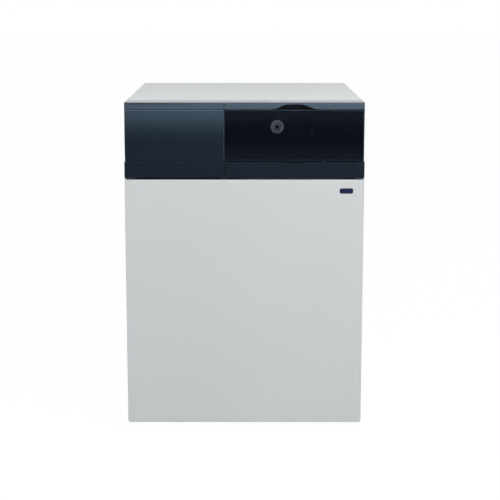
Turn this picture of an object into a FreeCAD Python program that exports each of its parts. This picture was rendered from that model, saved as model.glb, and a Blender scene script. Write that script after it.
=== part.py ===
import FreeCAD, Part
import math
import os
import Sketcher
from FreeCAD import Placement, Rotation, Vector

# Floor-standing oil boiler with a pressure-jet burner behind its front door.
# Millimetres. X runs left to right, the front faces -Y, +Z is up.
# The origin lies on the floor, at the middle of the overall length and width.

SIZES = {
    # Casing.
    "wide": (600, "overall width"),
    "high": (850, "overall height"),
    "case_deep": (750, "front face to back panel"),
    "stub_out": (40, "pipes and flue collar standing out of the back"),
    "sheet": (1.5, "casing sheet"),
    "gap": (0.5, "gap between pressed panels"),
    "seat": (0.3, "clearance between a loose piece and its seat"),
    "slip": (0.1, "running clearance of a pin or shaft"),
    "flange": (18, "folded edge of the casing panels"),
    "skirt": (25, "turned-down edge of the lid"),
    "lid_round": (5, "outer corner of the lid"),
    "base_foot": (30, "underside of the base tray"),
    "base_high": (20, "height of the base tray"),
    "base_inset": (27, "base tray behind the front face"),
    "foot_rad": (20, "levelling foot"),
    "foot_pad": (6, "thickness of the foot pad"),
    "foot_in": (45, "foot centre from the casing side"),
    "foot_back": (80, "front feet behind the edge of the base tray"),
    "stem_rad": (5, "levelling stem"),
    "stem_high": (60, "top of the levelling stem"),
    # Front door.
    "door_foot": (26, "bottom edge of the door"),
    "door_gap": (1.2, "gap between door and control panel"),
    "door_deep": (23, "depth of the door pan"),
    "door_toe": (12, "depth of the door pan at its bottom edge"),
    "door_corner": (6, "bottom corners of the door"),
    "door_lining": (10, "insulation inside the door"),
    "pivot_rad": (3, "door pivot pin"),
    "pivot_in": (8, "pivot axis behind the door face"),
    "pivot_up": (42, "pivot axis above the floor"),
    "pivot_long": (30, "pivot pin length"),
    "hook_rad": (6, "rounded end of the hook bracket"),
    "hook_thick": (4, "hook bracket plate"),
    "hook_in": (18, "hook bracket from the door side"),
    "catch_rad": (3.5, "door stud"),
    "catch_long": (16, "door stud length"),
    "catch_in": (120, "door stud from the casing side"),
    "catch_clear": (1.5, "hole in the rail round a door stud"),
    "jaw_deep": (12, "door catch"),
    "rail_high": (22, "front cross rail"),
    "rail_deep": (20, "front cross rail"),
    "lining_in": (14, "edge of the door insulation"),
    "edge_round": (2, "rounded edges of door and lid"),
    "louvre_half": (80, "half a louvre slot"),
    "louvre_high": (5, "louvre slot"),
    "louvre_down": (170, "lowest louvre slot below the top"),
    "louvre_pitch": (14, "louvre spacing"),
    "louvre_count": (6, "louvre slots in a bank"),
    "badge_wide": (34, "blank badge"),
    "badge_high": (13.6, "blank badge"),
    "badge_sink": (0.8, "badge let into the door"),
    "badge_round": (4.5, "corners of the blank badge"),
    "badge_in": (44.5, "badge centre from the door's side"),
    "badge_down": (28.6, "badge centre below the door's top edge"),
    # Control panel.
    "panel_deep": (85, "depth of the control panel"),
    "panel_wall": (3, "moulded wall"),
    "edge": (1.5, "eased edges of moulded pieces"),
    "crisp": (0.5, "finely eased edges of moulded pieces"),
    "strip_high": (43.5, "height of the lower strip"),
    "strip_gap": (1.2, "gap between lower strip and left cover"),
    "strip_shelf": (15, "depth of the lower strip's shelf"),
    "cover_high": (128.8, "height of the left cover"),
    "cover_gap": (1.2, "gap between cover, flap and the top bands"),
    "cover_bulge": (3, "how far cover and flap bow outwards"),
    "band_high": (16.5, "height of the top bands"),
    "band_lean": (1.9, "how far the bands' front leans back"),
    "band_round": (6, "rounded front edge of the top bands"),
    "side_step": (1.5, "panel narrower than the casing each side"),
    "seam_x": (-50.25, "seam between the two halves of the panel"),
    "seam": (1.5, "width of that seam"),
    "cheek": (4, "side cheek beside cover and flap"),
    "arch_off": (2, "the finger arch's distance right of the flap's middle"),
    "arch_half": (61.5, "half the width of the finger arch"),
    "arch_flat": (8, "half the flat top of the finger arch"),
    "arch_high": (12.5, "height of the finger arch"),
    "flap_high": (126, "height of the flap"),
    "flap_thick": (2.5, "smoked sheet"),
    "flap_pin_rad": (2, "flap hinge pin"),
    "flap_axis_in": (7, "flap hinge axis behind the face"),
    "flap_axis_up": (4.5, "flap hinge axis above its bottom edge"),
    "flap_barrel": (3.4, "flap hinge barrel"),
    "plate_in": (30, "instrument plate behind the face"),
    "plate_up": (1, "instrument plate above the lower strips"),
    "cheek_in": (2, "cheeks behind the front face"),
    "shell_in": (8, "moulded tray behind the front face"),
    "strip_round": (2, "top edge of the lower strips"),
    "strip_corner": (6, "outer bottom corners of the lower strips"),
    "flap_pin_long": (2.2, "flap hinge pin in its cheek"),
    "post_rad": (4, "posts behind the instrument plate"),
    "notch_half": (25, "half of the notch under the flap"),
    "notch_deep": (3, "depth of the notch under the flap"),
    "vent_high": (3.6, "height of the vent openings"),
    "vent_pitch": (10.3, "rib spacing"),
    "vent_rib": (4.2, "rib width"),
    "vent_count": (25, "number of ribs"),
    "vent_first": (-8.7, "centre of the first rib"),
    "corner_post": (26, "solid end of the vent strip"),
    # Instruments.
    "knob_x": (82, "thermostat spindle"),
    "knob_down": (44.3, "thermostat spindle below the top of cover and flap"),
    "knob_rad": (16.5, "dial"),
    "knob_high": (13, "dial and hub together"),
    "dial_high": (10, "dial"),
    "hub_rad": (5, "hub of the dial"),
    "flute_rad": (1.2, "flutes round the dial"),
    "flutes": (24, "number of flutes"),
    "neck_rad": (5, "thermostat neck"),
    "spindle_rad": (3, "thermostat spindle"),
    "thermo_size": (44, "thermostat body"),
    "thermo_deep": (26, "thermostat body"),
    "rocker_x": (170, "mains switch"),
    "rocker_down": (61.8, "mains switch and reset below the top of cover and flap"),
    "rocker_wide": (13, "mains switch key"),
    "rocker_high": (20, "mains switch key"),
    "rocker_rim": (2.5, "mains switch bezel"),
    "rocker_tilt": (9, "tilt of the key each way, degrees"),
    "rocker_wall": (1.5, "wall of switch and reset bodies"),
    "rocker_lip": (2, "bezel standing proud"),
    "rocker_deep": (14, "switch body behind the plate"),
    "rocker_crown": (8.5, "key standing in front of its axle"),
    "rocker_dish": (2.2, "hollow of the key's face"),
    "rocker_back": (3, "key behind its axle"),
    "rocker_ease": (0.7, "tips of the key drawn in"),
    "rocker_in": (4, "axle of the key behind the plate's face"),
    "axle_rad": (1.2, "axle of the key"),
    "reset_x": (230, "limit thermostat reset"),
    "reset_rad": (6, "reset button"),
    "reset_lip": (1, "lip that keeps the reset button in"),
    "reset_out": (4, "reset button standing proud"),
    "reset_flange": (1.5, "flange that keeps the button in"),
    "reset_deep": (12, "reset body behind the plate"),
    "terminal_pitch": (12, "terminal spacing"),
    "terminals": (12, "number of terminals"),
    "terminal_high": (20, "terminal block"),
    "terminal_half": (16, "half the terminal block"),
    # Boiler block.
    "block_half": (190, "half the block width"),
    "block_foot": (100, "underside of the block"),
    "block_high": (460, "block height"),
    "block_round": (40, "corner of the block sections"),
    "block_in": (285, "front of the block behind the face"),
    "front_deep": (70, "front section"),
    "middle_deep": (130, "middle section"),
    "rear_deep": (70, "rear section"),
    "rib_deep": (6, "flange round each section"),
    "rib_wide": (12, "flange at each joint of the block"),
    "chamber_rad": (110, "combustion chamber"),
    "burner_z": (270, "burner and chamber axis"),
    "jacket": (25, "insulation jacket"),
    "tie_rad": (6, "tie rod"),
    "tie_in": (28, "tie rod from the section corner"),
    "cradle_wide": (50, "cradle channel"),
    "plate_thick": (16, "combustion door casting"),
    "plate_edge": (28, "block seen round the combustion door"),
    "plate_rib": (8, "ribs of the combustion door"),
    "stud_in": (16, "studs from the edge of the combustion door"),
    "sight_z": (440, "sight glass"),
    "rope": (2, "compressed rope seal"),
    "rope_wide": (12, "rope seal"),
    "rope_in": (18, "rope seal from the edge of the combustion door"),
    "refractory": (30, "refractory behind the combustion door"),
    "stud_rad": (5, "studs of the combustion door"),
    "sight_rad": (18, "sight glass"),
    # Flue and water connections.
    "flue_rad": (62.5, "flue collar bore"),
    "flue_wall": (1.5, "flue collar"),
    "flue_z": (470, "flue axis"),
    "hood_deep": (70, "flue hood"),
    "hood_half": (90, "half the flue hood width at the block"),
    "hood_wall": (4, "flue hood casting"),
    "pipe_rad": (14, "flow and return pipe"),
    "pipe_wall": (1.2, "flow and return pipe"),
    "pipe_x": (120, "flow and return pipe from the middle"),
    "flow_z": (520, "flow pipe"),
    "return_z": (150, "return pipe"),
    "union_rad": (26, "union at the block"),
    "union_long": (24, "union at the block"),
    "panel_clear": (3, "back panel clear of pipes and flue"),
    "drain_in": (14, "drain cock from the side of the block"),
    "drain_z": (200, "drain cock"),
    "drain_rad": (8, "drain cock body"),
    # Burner.
    "tube_rad": (44, "blast tube"),
    "tube_wall": (1.5, "blast tube"),
    "tube_in": (95, "blast tube into the chamber"),
    "bflange": (10, "burner flange"),
    "bflange_half": (72, "half the burner flange"),
    "fan_fwd": (110, "fan axis in front of the burner flange"),
    "fan_rad": (65, "fan wheel"),
    "fan_wide": (56, "fan wheel"),
    "fan_eye": (50, "inside of the blades"),
    "blade": (1.5, "blade thickness"),
    "blades": (26, "number of blades"),
    "scroll": (75, "smallest scroll radius"),
    "scroll_grow": (10, "growth of the scroll each quarter turn"),
    "scroll_half": (40, "half the scroll width"),
    "scroll_wall": (3, "scroll wall"),
    "duct_half": (44, "half the outlet height"),
    "shaft_rad": (4, "fan shaft"),
    "motor_rad": (45, "motor"),
    "motor_long": (105, "motor"),
    "motor_slots": (12, "cooling slots round the motor's end"),
    "pump_half": (28, "half the oil pump"),
    "pump_long": (46, "oil pump"),
    "boss_long": (18, "pump boss"),
    "boss_rad": (16, "pump boss"),
    "windows": (4, "air windows in scroll cover and shutter"),
    "window_half": (30, "half the sweep of an air window, degrees"),
    "inlet_rad": (52, "air inlet"),
    "shutter": (2, "air shutter"),
    "box_wide": (90, "control box"),
    "box_deep": (62, "control box"),
    "box_high": (44, "control box"),
    "oil_rad": (3, "copper oil pipe"),
    "nozzle_rad": (7, "nozzle line"),
    "line_in": (25, "cross tube of the nozzle line in front of the burner flange"),
    "rod_x": (11, "electrodes each side of the nozzle line"),
    "rod_z": (19, "electrodes above the nozzle line"),
    "rod_rad": (3, "porcelain of the electrodes"),
    "clamp_in": (40, "electrode clamp behind the burner flange face"),
    "slots": (6, "slots in the diffuser disc"),
    "slot_half": (20, "half the sweep of a diffuser slot, degrees"),
    "diffuser_rad": (38, "diffuser disc"),
    "motor_bore": (20, "shaft in the motor"),
    "pump_bore": (8, "shaft in the pump"),
    "bolt_rad": (4, "burner bolts"),
    "bolt_in": (14, "burner bolts from the flange edge"),
    "cell_rad": (8, "photocell"),
    "coil_deep": (62, "ignition transformer"),
    "lockout_rad": (9, "lockout reset button"),
    "lockout_push": (2.5, "lockout button standing proud, and its travel"),
}


class Dim:
    """A length held both as a number and as the sheet expression behind it."""

    def __init__(self, value, text):
        self.value = float(value)
        self.text = text

    def _join(self, sign, other, swap=False):
        other = dim(other)
        a, b = (other, self) if swap else (self, other)
        value = {
            "+": a.value + b.value,
            "-": a.value - b.value,
            "*": a.value * b.value,
            "/": a.value / b.value if sign == "/" else 0.0,
        }[sign]
        return Dim(value, f"({a.text} {sign} {b.text})")

    def __add__(self, other):
        return self._join("+", other)

    def __radd__(self, other):
        return self._join("+", other, swap=True)

    def __sub__(self, other):
        return self._join("-", other)

    def __rsub__(self, other):
        return self._join("-", other, swap=True)

    def __mul__(self, other):
        return self._join("*", other)

    def __rmul__(self, other):
        return self._join("*", other, swap=True)

    def __truediv__(self, other):
        return self._join("/", other)

    def __neg__(self):
        return Dim(-self.value, f"(0 - {self.text})")


def dim(item):
    """Return item as a Dim; plain numbers stand for themselves."""
    if isinstance(item, Dim):
        return item
    return Dim(item, f"{float(item):.6f}")


def root(item):
    """Square root of a Dim."""
    return Dim(math.sqrt(item.value), f"sqrt({item.text})")


doc = FreeCAD.newDocument("OilBoiler")
sheet = doc.addObject("Spreadsheet::Sheet", "Sizes")
for row, (alias, (number, note)) in enumerate(SIZES.items(), start=1):
    sheet.set(f"A{row}", note)
    sheet.set(f"B{row}", str(number))
    sheet.setAlias(f"B{row}", alias)
doc.recompute()


class Sizes:
    """Reads sizes from the sheet as Dims, by their alias."""

    def __getattr__(self, alias):
        return Dim(getattr(sheet, alias), f"Sizes.{alias}")


S = Sizes()
NODES = []

PLANES = {"xy": "XY_Plane", "xz": "XZ_Plane", "yz": "YZ_Plane"}
TURN = {
    "+z": Rotation(),
    "-z": Rotation(Vector(1, 0, 0), 180),
    "+x": Rotation(Vector(0, 1, 0), 90),
    "-x": Rotation(Vector(0, 1, 0), -90),
    "+y": Rotation(Vector(1, 0, 0), -90),
    "-y": Rotation(Vector(1, 0, 0), 90),
}


def bind(obj, prop, size):
    """Bind a property to a Dim, or set it when the size is a plain number."""
    if isinstance(size, Dim):
        obj.setExpression(prop, size.text)
    else:
        setattr(obj, prop, size)


def locate(obj, place, turn="+z"):
    """Place an object at three Dims, its own Z axis turned to an axis of the boiler."""
    obj.Placement = Placement(Vector(*(dim(c).value for c in place)), TURN[turn])
    for axis, size in zip("xyz", place):
        if isinstance(size, Dim):
            obj.setExpression(f"Placement.Base.{axis}", size.text)
    return obj


# --- Sketch loops -----------------------------------------------------------------------


class Loop:
    """An outline of lines and arcs, every corner bound to the sheet.

    Each item is a corner (u, v), or (u, v, radius, side) for a corner that is reached by
    an arc; side is +1 where the arc turns anticlockwise from the corner before it.
    """

    def __init__(self, corners, closed=True):
        self.corners = corners
        self.closed = closed

    def draw(self, sketch, stem):
        skip = 0 if self.closed else 1
        ends = []
        for i, corner in enumerate(self.corners[skip:], start=skip):
            before = self.corners[i - 1]
            a = Vector(dim(before[0]).value, dim(before[1]).value, 0)
            b = Vector(dim(corner[0]).value, dim(corner[1]).value, 0)
            if len(corner) == 2:
                edge = sketch.addGeometry(Part.LineSegment(a, b), False)
                ends.append((edge, 1, 2))
                continue
            radius, side = dim(corner[2]), corner[3]
            chord = b - a
            reach = math.sqrt(max(radius.value ** 2 - chord.Length ** 2 / 4, 0.0))
            across = Vector(-chord.y, chord.x, 0).normalize() * side
            centre = (a + b) * 0.5 + across * reach
            first, last = (a, b) if side > 0 else (b, a)
            circle = Part.Circle(centre, Vector(0, 0, 1), radius.value)
            arc = Part.ArcOfCircle(circle, circle.parameter(first), circle.parameter(last))
            edge = sketch.addGeometry(arc, False)
            ends.append((edge, 1, 2) if side > 0 else (edge, 2, 1))
            self._hold(sketch, "Radius", f"{stem}r{i}", radius, edge)
        if skip:
            self._pin(sketch, f"{stem}start", self.corners[0], ends[0][0], ends[0][1])
        for i, (edge, _, tail) in enumerate(ends):
            if self.closed or i + 1 < len(ends):
                after, head, _ = ends[(i + 1) % len(ends)]
                sketch.addConstraint(Sketcher.Constraint("Coincident", edge, tail, after, head))
            self._pin(sketch, f"{stem}p{i}", self.corners[i + skip], edge, tail)

    def _pin(self, sketch, name, corner, edge, end):
        self._hold(sketch, "DistanceX", f"{name}u", corner[0], -1, 1, edge, end)
        self._hold(sketch, "DistanceY", f"{name}v", corner[1], -1, 1, edge, end)

    @staticmethod
    def _hold(sketch, kind, name, size, *where):
        size = dim(size)
        index = sketch.addConstraint(Sketcher.Constraint(kind, *where, size.value))
        sketch.renameConstraint(index, name)
        sketch.setExpression(f"Constraints.{name}", size.text)


class Disc:
    """A circle bound to the sheet."""

    def __init__(self, u, v, radius):
        self.centre = (u, v)
        self.radius = radius

    def draw(self, sketch, stem):
        u, v = (dim(c).value for c in self.centre)
        circle = Part.Circle(Vector(u, v, 0), Vector(0, 0, 1), dim(self.radius).value)
        edge = sketch.addGeometry(circle, False)
        Loop._hold(sketch, "DistanceX", f"{stem}u", self.centre[0], -1, 1, edge, 3)
        Loop._hold(sketch, "DistanceY", f"{stem}v", self.centre[1], -1, 1, edge, 3)
        Loop._hold(sketch, "Radius", f"{stem}r", self.radius, edge)


def box(u0, v0, u1, v1):
    """Rectangle between two corners."""
    return Loop([(u0, v0), (u1, v0), (u1, v1), (u0, v1)])


def rounded(u0, v0, u1, v1, r):
    """Rectangle with rounded corners."""
    return Loop([
        (u0 + r, v0), (u1 - r, v0), (u1, v0 + r, r, 1), (u1, v1 - r), (u1 - r, v1, r, 1),
        (u0 + r, v1), (u0, v1 - r, r, 1), (u0, v0 + r), (u0 + r, v0, r, 1),
    ][1:])


# --- Sub-parts --------------------------------------------------------------------------


class Piece:
    """One sub-part made as a PartDesign body."""

    def __init__(self, label, place=None, turn="+z"):
        self.body = doc.addObject("PartDesign::Body", label)
        self.body.Label = label
        self.steps = 0
        self.last = None
        if place is not None:
            locate(self.body, place, turn)
        NODES.append(self.body)

    def sketch(self, plane, at, loops):
        """Sketch closed loops on one of the body's planes, moved to a level."""
        self.steps += 1
        name = f"{self.body.Name}_sketch{self.steps}"
        sketch = self.body.newObject("Sketcher::SketchObject", name)
        role = PLANES[plane]
        origin = next(f for f in self.body.Origin.OriginFeatures if f.Role == role)
        sketch.AttachmentSupport = [(origin, "")]
        sketch.MapMode = "FlatFace"
        level = -dim(at) if plane == "xz" else dim(at)
        sketch.setExpression("AttachmentOffset.Base.z", level.text)
        for i, loop in enumerate(loops):
            loop.draw(sketch, f"k{i}_")
        return sketch

    def _extrude(self, kind, plane, start, end, loops, reverse):
        profile = self.sketch(plane, start, loops)
        feature = self.body.newObject(f"PartDesign::{kind}", f"{self.body.Name}_{kind}{self.steps}")
        feature.Profile = profile
        feature.Reversed = reverse
        feature.setExpression("Length", (dim(end) - start).text)
        profile.Visibility = False
        self.last = feature
        return feature

    def pad(self, plane, start, end, *loops):
        """Add material between two levels, start below end."""
        return self._extrude("Pad", plane, start, end, loops, plane == "xz")

    def pocket(self, plane, start, end, *loops):
        """Cut between two levels, start below end."""
        return self._extrude("Pocket", plane, start, end, loops, plane != "xz")

    def revolve(self, *loops, cut=False):
        """Turn loops of (radius, height) once round the body's own Z axis."""
        profile = self.sketch("xz", 0, loops)
        kind = "Groove" if cut else "Revolution"
        feature = self.body.newObject(f"PartDesign::{kind}", f"{self.body.Name}_{kind}{self.steps}")
        feature.Profile = profile
        feature.ReferenceAxis = (profile, ["V_Axis"])
        feature.Angle = 360
        self.last = feature
        return feature

    def sweep(self, radius, start, path):
        """Round bar along a path in the body's YZ plane that starts straight down."""
        spine = self.sketch("yz", 0, [Loop([start, *path], closed=False)])
        profile = self.sketch("xy", start[1], [Disc(0, start[0], radius)])
        feature = self.body.newObject("PartDesign::AdditivePipe", f"{self.body.Name}_Pipe")
        feature.Profile = profile
        feature.Spine = spine
        self.last = feature
        return feature

    def _pattern(self, kind, features):
        self.steps += 1
        feature = self.body.newObject(f"PartDesign::{kind}", f"{self.body.Name}_{kind}{self.steps}")
        feature.Originals = list(features)
        self.body.Tip = feature
        self.last = feature
        return feature

    def row(self, feature, axis, pitch, count):
        """Repeat a feature along H_Axis or V_Axis of its own sketch."""
        pattern = self._pattern("LinearPattern", [feature])
        pattern.Direction = (feature.Profile[0], [axis])
        pattern.setExpression("Length", (dim(pitch) * (dim(count) - 1)).text)
        bind(pattern, "Occurrences", count)
        return pattern

    def ring(self, feature, count, role="Z_Axis"):
        """Repeat a feature round one of the body's own axes."""
        axis = next(f for f in self.body.Origin.OriginFeatures if f.Role == role)
        pattern = self._pattern("PolarPattern", [feature])
        pattern.Axis = (axis, [""])
        pattern.Angle = 360
        bind(pattern, "Occurrences", count)
        return pattern

    def mirror(self, features, role="YZ_Plane"):
        """Repeat features on the other side of one of the body's own planes."""
        plane = next(f for f in self.body.Origin.OriginFeatures if f.Role == role)
        pattern = self._pattern("Mirrored", features)
        pattern.MirrorPlane = (plane, [""])
        return pattern

    def soften(self, size, choose, kind="Fillet"):
        """Fillet or chamfer the edges for which choose(middle, direction) is true."""
        doc.recompute()
        base = self.body.Tip
        names = []
        for i, edge in enumerate(base.Shape.Edges, start=1):
            along = (edge.FirstParameter + edge.LastParameter) / 2
            if choose(edge.valueAt(along), edge.tangentAt(along)):
                names.append(f"Edge{i}")
        if not names:
            raise RuntimeError(f"{self.body.Name}: no edge to soften")
        self.steps += 1
        feature = self.body.newObject(f"PartDesign::{kind}", f"{self.body.Name}_{kind}{self.steps}")
        feature.Base = (base, names)
        bind(feature, "Radius" if kind == "Fillet" else "Size", size)
        self.last = feature
        return feature


def cylinder(name, place, turn, radius, length):
    """Cylinder from a place along an axis."""
    obj = doc.addObject("Part::Cylinder", name)
    bind(obj, "Radius", radius)
    bind(obj, "Height", length)
    return locate(obj, place, turn)


def prism(name, place, turn, radius, length, sides=6):
    """Prism, such as a nut or a hexagon head."""
    obj = doc.addObject("Part::Prism", name)
    obj.Polygon = sides
    bind(obj, "Circumradius", radius)
    bind(obj, "Height", length)
    return locate(obj, place, turn)


def block(name, low, high):
    """Box between two opposite corners."""
    obj = doc.addObject("Part::Box", name)
    for prop, a, b in zip(("Length", "Width", "Height"), low, high):
        obj.setExpression(prop, (dim(b) - a).text)
    return locate(obj, low)


def fuse(name, *shapes):
    """One solid of several that touch or overlap."""
    obj = doc.addObject("Part::MultiFuse", name)
    obj.Shapes = list(shapes)
    obj.Refine = True
    return obj


def cut(name, base, *tools):
    """Take tools away from a base."""
    obj = doc.addObject("Part::Cut", name)
    obj.Base = base
    obj.Tool = tools[0] if len(tools) == 1 else fuse(f"{name}_tools", *tools)
    obj.Refine = True
    return obj


def flip(name, source, normal, at=0):
    """Mirror a shape in a plane square to X, Y or Z."""
    obj = doc.addObject("Part::Mirroring", name)
    obj.Source = source
    obj.Normal = {"x": Vector(1, 0, 0), "y": Vector(0, 1, 0), "z": Vector(0, 0, 1)}[normal]
    obj.setExpression(f"Base.{normal}", dim(at).text)
    return obj


def group(name, *shapes):
    """Several alike solids kept as one sub-part."""
    obj = doc.addObject("Part::Compound", name)
    obj.Links = list(shapes)
    return obj


def node(label, obj):
    """Name an object as a sub-part."""
    obj.Label = label
    NODES.append(obj)
    return obj


# --- Levels that several pieces share ---------------------------------------------------

front = -(S.case_deep + S.stub_out) / 2
back = front + S.case_deep
stub_end = back + S.stub_out
half = S.wide / 2
panel_half = half - S.side_step
panel_back = front + S.panel_deep
door_back = front + S.door_deep
side_front = door_back + S.gap
band_foot = S.high - S.band_high
cover_top = band_foot - S.cover_gap
cover_foot = cover_top - S.cover_high
flap_foot = cover_top - S.flap_high
strip_top = cover_foot - S.strip_gap
panel_foot = strip_top - S.strip_high
door_top = panel_foot - S.door_gap
badge_x = half - S.badge_in
badge_z = door_top - S.badge_down
skirt_foot = S.high - S.skirt
base_top = S.base_foot + S.base_high
base_front = front + S.base_inset
back_inner = back - S.sheet
pivot_y = front + S.pivot_in
pivot_z = S.pivot_up
foot_x = half - S.foot_in
foot_front = base_front + S.foot_back
foot_rear = back - S.foot_in
catch_z = panel_foot - S.gap - S.rail_high / 2
stud_long = S.door_deep + S.gap + S.sheet + S.catch_long - S.jaw_deep
shell_front = front + S.shell_in
tray_foot = panel_foot + S.vent_high
flap_axis_y = front + S.flap_axis_in
flap_axis_z = flap_foot + S.flap_axis_up
plate_front = front + S.plate_in
plate_rear = plate_front + S.panel_wall
plate_foot = strip_top + S.plate_up
plate_top = S.high - S.panel_wall * 2 - S.seat
flap_x = (S.seam_x + S.panel_wall / 2 + panel_half - S.cheek) / 2
arch_x = flap_x + S.arch_off
knob_z = cover_top - S.knob_down
rocker_z = cover_top - S.rocker_down
rocker_axis_y = plate_front + S.rocker_in
block_front = front + S.block_in
drain_x = S.drain_in - S.block_half
middle_front = block_front + S.front_deep
rear_front = middle_front + S.middle_deep
block_rear = rear_front + S.rear_deep
block_top = S.block_foot + S.block_high
door_face = block_front - S.rope - S.plate_thick
burner_face = door_face - S.bflange
fan_y = burner_face - S.fan_fwd
fan_z = S.burner_z - S.duct_half + S.scroll + S.scroll_grow * 2.5
line_y = burner_face - S.line_in
line_end = block_front + S.tube_in - S.nozzle_rad * 3
clamp_y = burner_face + S.clamp_in
bolt_at = S.bflange_half - S.bolt_in
pipe_x = -S.scroll_half - S.boss_long - S.pump_long * 0.4
cell_y = burner_face - S.cell_rad * 1.4 - S.scroll_wall * 2


# --- Casing -----------------------------------------------------------------------------


def ordered(a, b):
    """Two Dims, the smaller first."""
    return (a, b) if dim(a).value < dim(b).value else (b, a)


def make_base():
    """Folded base tray with hook brackets for the door and holes for the feet."""
    tray = Piece("base_frame")
    edge = half - S.sheet - S.gap
    rear = back_inner - S.sheet - S.gap
    tray.pad("xy", S.base_foot, base_top, box(-edge, base_front, edge, rear))
    tray.pocket(
        "xy", S.base_foot, base_top - S.sheet,
        box(-edge + S.sheet, base_front + S.sheet, edge - S.sheet, rear - S.sheet),
    )
    hole = S.stem_rad + S.seat
    for side in (-1, 1):
        for y in (foot_front, foot_rear):
            tray.pocket("xy", S.base_foot, base_top + 1, Disc(foot_x * side, y, hole))
    arm = S.hook_rad
    bore = S.pivot_rad + S.slip
    for side in (-1, 1):
        near = (half - S.hook_in) * side
        low, high = ordered(near, near - S.hook_thick * side)
        tray.pad("yz", low, high, Loop([
            (pivot_y, pivot_z - arm, arm, 1),
            (base_front, pivot_z - arm),
            (base_front, pivot_z - 1),
            (pivot_y + arm, pivot_z - 1),
            (pivot_y + arm, pivot_z),
            (pivot_y - arm, pivot_z),
        ]))
        tray.pocket("yz", low, high, Loop([
            (pivot_y, pivot_z - bore, bore, 1),
            (pivot_y + bore, pivot_z, bore, 1),
            (pivot_y + bore, pivot_z + arm),
            (pivot_y - bore, pivot_z + arm),
            (pivot_y - bore, pivot_z),
        ]))


def make_feet():
    """Four levelling feet: a round pad, a locking nut and a threaded stem."""
    pieces = []
    for name, y in (("front", foot_front), ("rear", foot_rear)):
        spot = (-foot_x, y, 0)
        pad = cylinder(f"pad_{name}", spot, "+z", S.foot_rad, S.foot_pad)
        stem = cylinder(f"stem_{name}", spot, "+z", S.stem_rad, S.stem_high)
        nut = prism(
            f"nut_{name}", (-foot_x, y, S.foot_pad), "+z", S.stem_rad * 1.8,
            base_top - S.sheet - S.foot_pad,
        )
        foot = fuse(f"foot_{name}", pad, stem, nut)
        pieces += [foot, flip(f"foot_{name}_right", foot, "x")]
    node("levelling_feet", group("feet", *pieces))


def make_side(label, side):
    """Side panel: a folded sheet, joggled inwards at the top to fit inside the lid."""
    panel = Piece(label)
    outer = half * side
    wall = S.sheet * side
    lip = outer - wall - S.gap * side
    sill = skirt_foot - S.gap
    lip_front = panel_back + S.gap * 2 + S.sheet + S.lid_round
    lip_rear = back_inner - S.gap - S.lid_round
    low, high = ordered(outer - wall, outer)
    panel.pad("yz", low, high, Loop([
        (side_front, S.base_foot),
        (back, S.base_foot),
        (back, sill),
        (panel_back + S.gap, sill),
        (panel_back + S.gap, panel_foot - S.gap),
        (side_front, panel_foot - S.gap),
    ]))
    low, high = ordered(lip - wall, outer)
    panel.pad("yz", low, high, box(lip_front, sill - S.sheet, lip_rear, sill))
    low, high = ordered(lip - wall, lip)
    panel.pad("yz", low, high, box(lip_front, sill - S.sheet, lip_rear, S.high - S.sheet - S.gap))
    low, high = ordered(outer, outer - S.flange * side)
    panel.pad(
        "xy", S.base_foot, panel_foot - S.gap,
        box(low, side_front, high, side_front + S.sheet),
    )
    panel.pad("xy", base_top + S.gap, sill, box(low, back_inner - S.sheet, high, back_inner))


def make_back():
    """Back panel with its flue and pipe openings and two banks of louvre slots."""
    panel = Piece("back_panel")
    edge = half - S.sheet - S.gap
    sill = skirt_foot - S.gap
    panel.pad("xz", back_inner, back, box(-edge, S.base_foot, edge, sill))
    flue = Disc(0, S.flue_z, S.flue_rad + S.flue_wall + S.panel_clear)
    pipe = S.pipe_rad + S.panel_clear
    holes = [flue, Disc(-S.pipe_x, S.flow_z, pipe), Disc(S.pipe_x, S.return_z, pipe)]
    panel.pocket("xz", back_inner, back, *holes)
    louvre_foot = S.high - S.louvre_down
    for side in (-1, 1):
        middle = half / 2 * side
        slot = rounded(
            middle - S.louvre_half, louvre_foot,
            middle + S.louvre_half, louvre_foot + S.louvre_high, S.louvre_high / 2 - S.gap,
        )
        first = panel.pocket("xz", back_inner, back, slot)
        panel.row(first, "V_Axis", S.louvre_pitch, S.louvre_count)


def make_lid():
    """Lift-off lid: a shallow pan with a skirt that covers the side panels' lips."""
    lid = Piece("top_lid")
    front_edge = panel_back + S.gap
    r = S.lid_round
    lid.pad("xy", skirt_foot, S.high, Loop([
        (-half, front_edge),
        (half, front_edge),
        (half, back - r),
        (half - r, back, r, 1),
        (-half + r, back),
        (-half, back - r, r, 1),
    ]))
    w = S.sheet
    lid.pocket("xy", skirt_foot, S.high - w, rounded(
        -half + w, front_edge + w, half - w, back - w, r - w,
    ))
    top = S.high.value - 0.01
    lid.soften(S.edge_round, lambda p, d: p.z > top)


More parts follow.
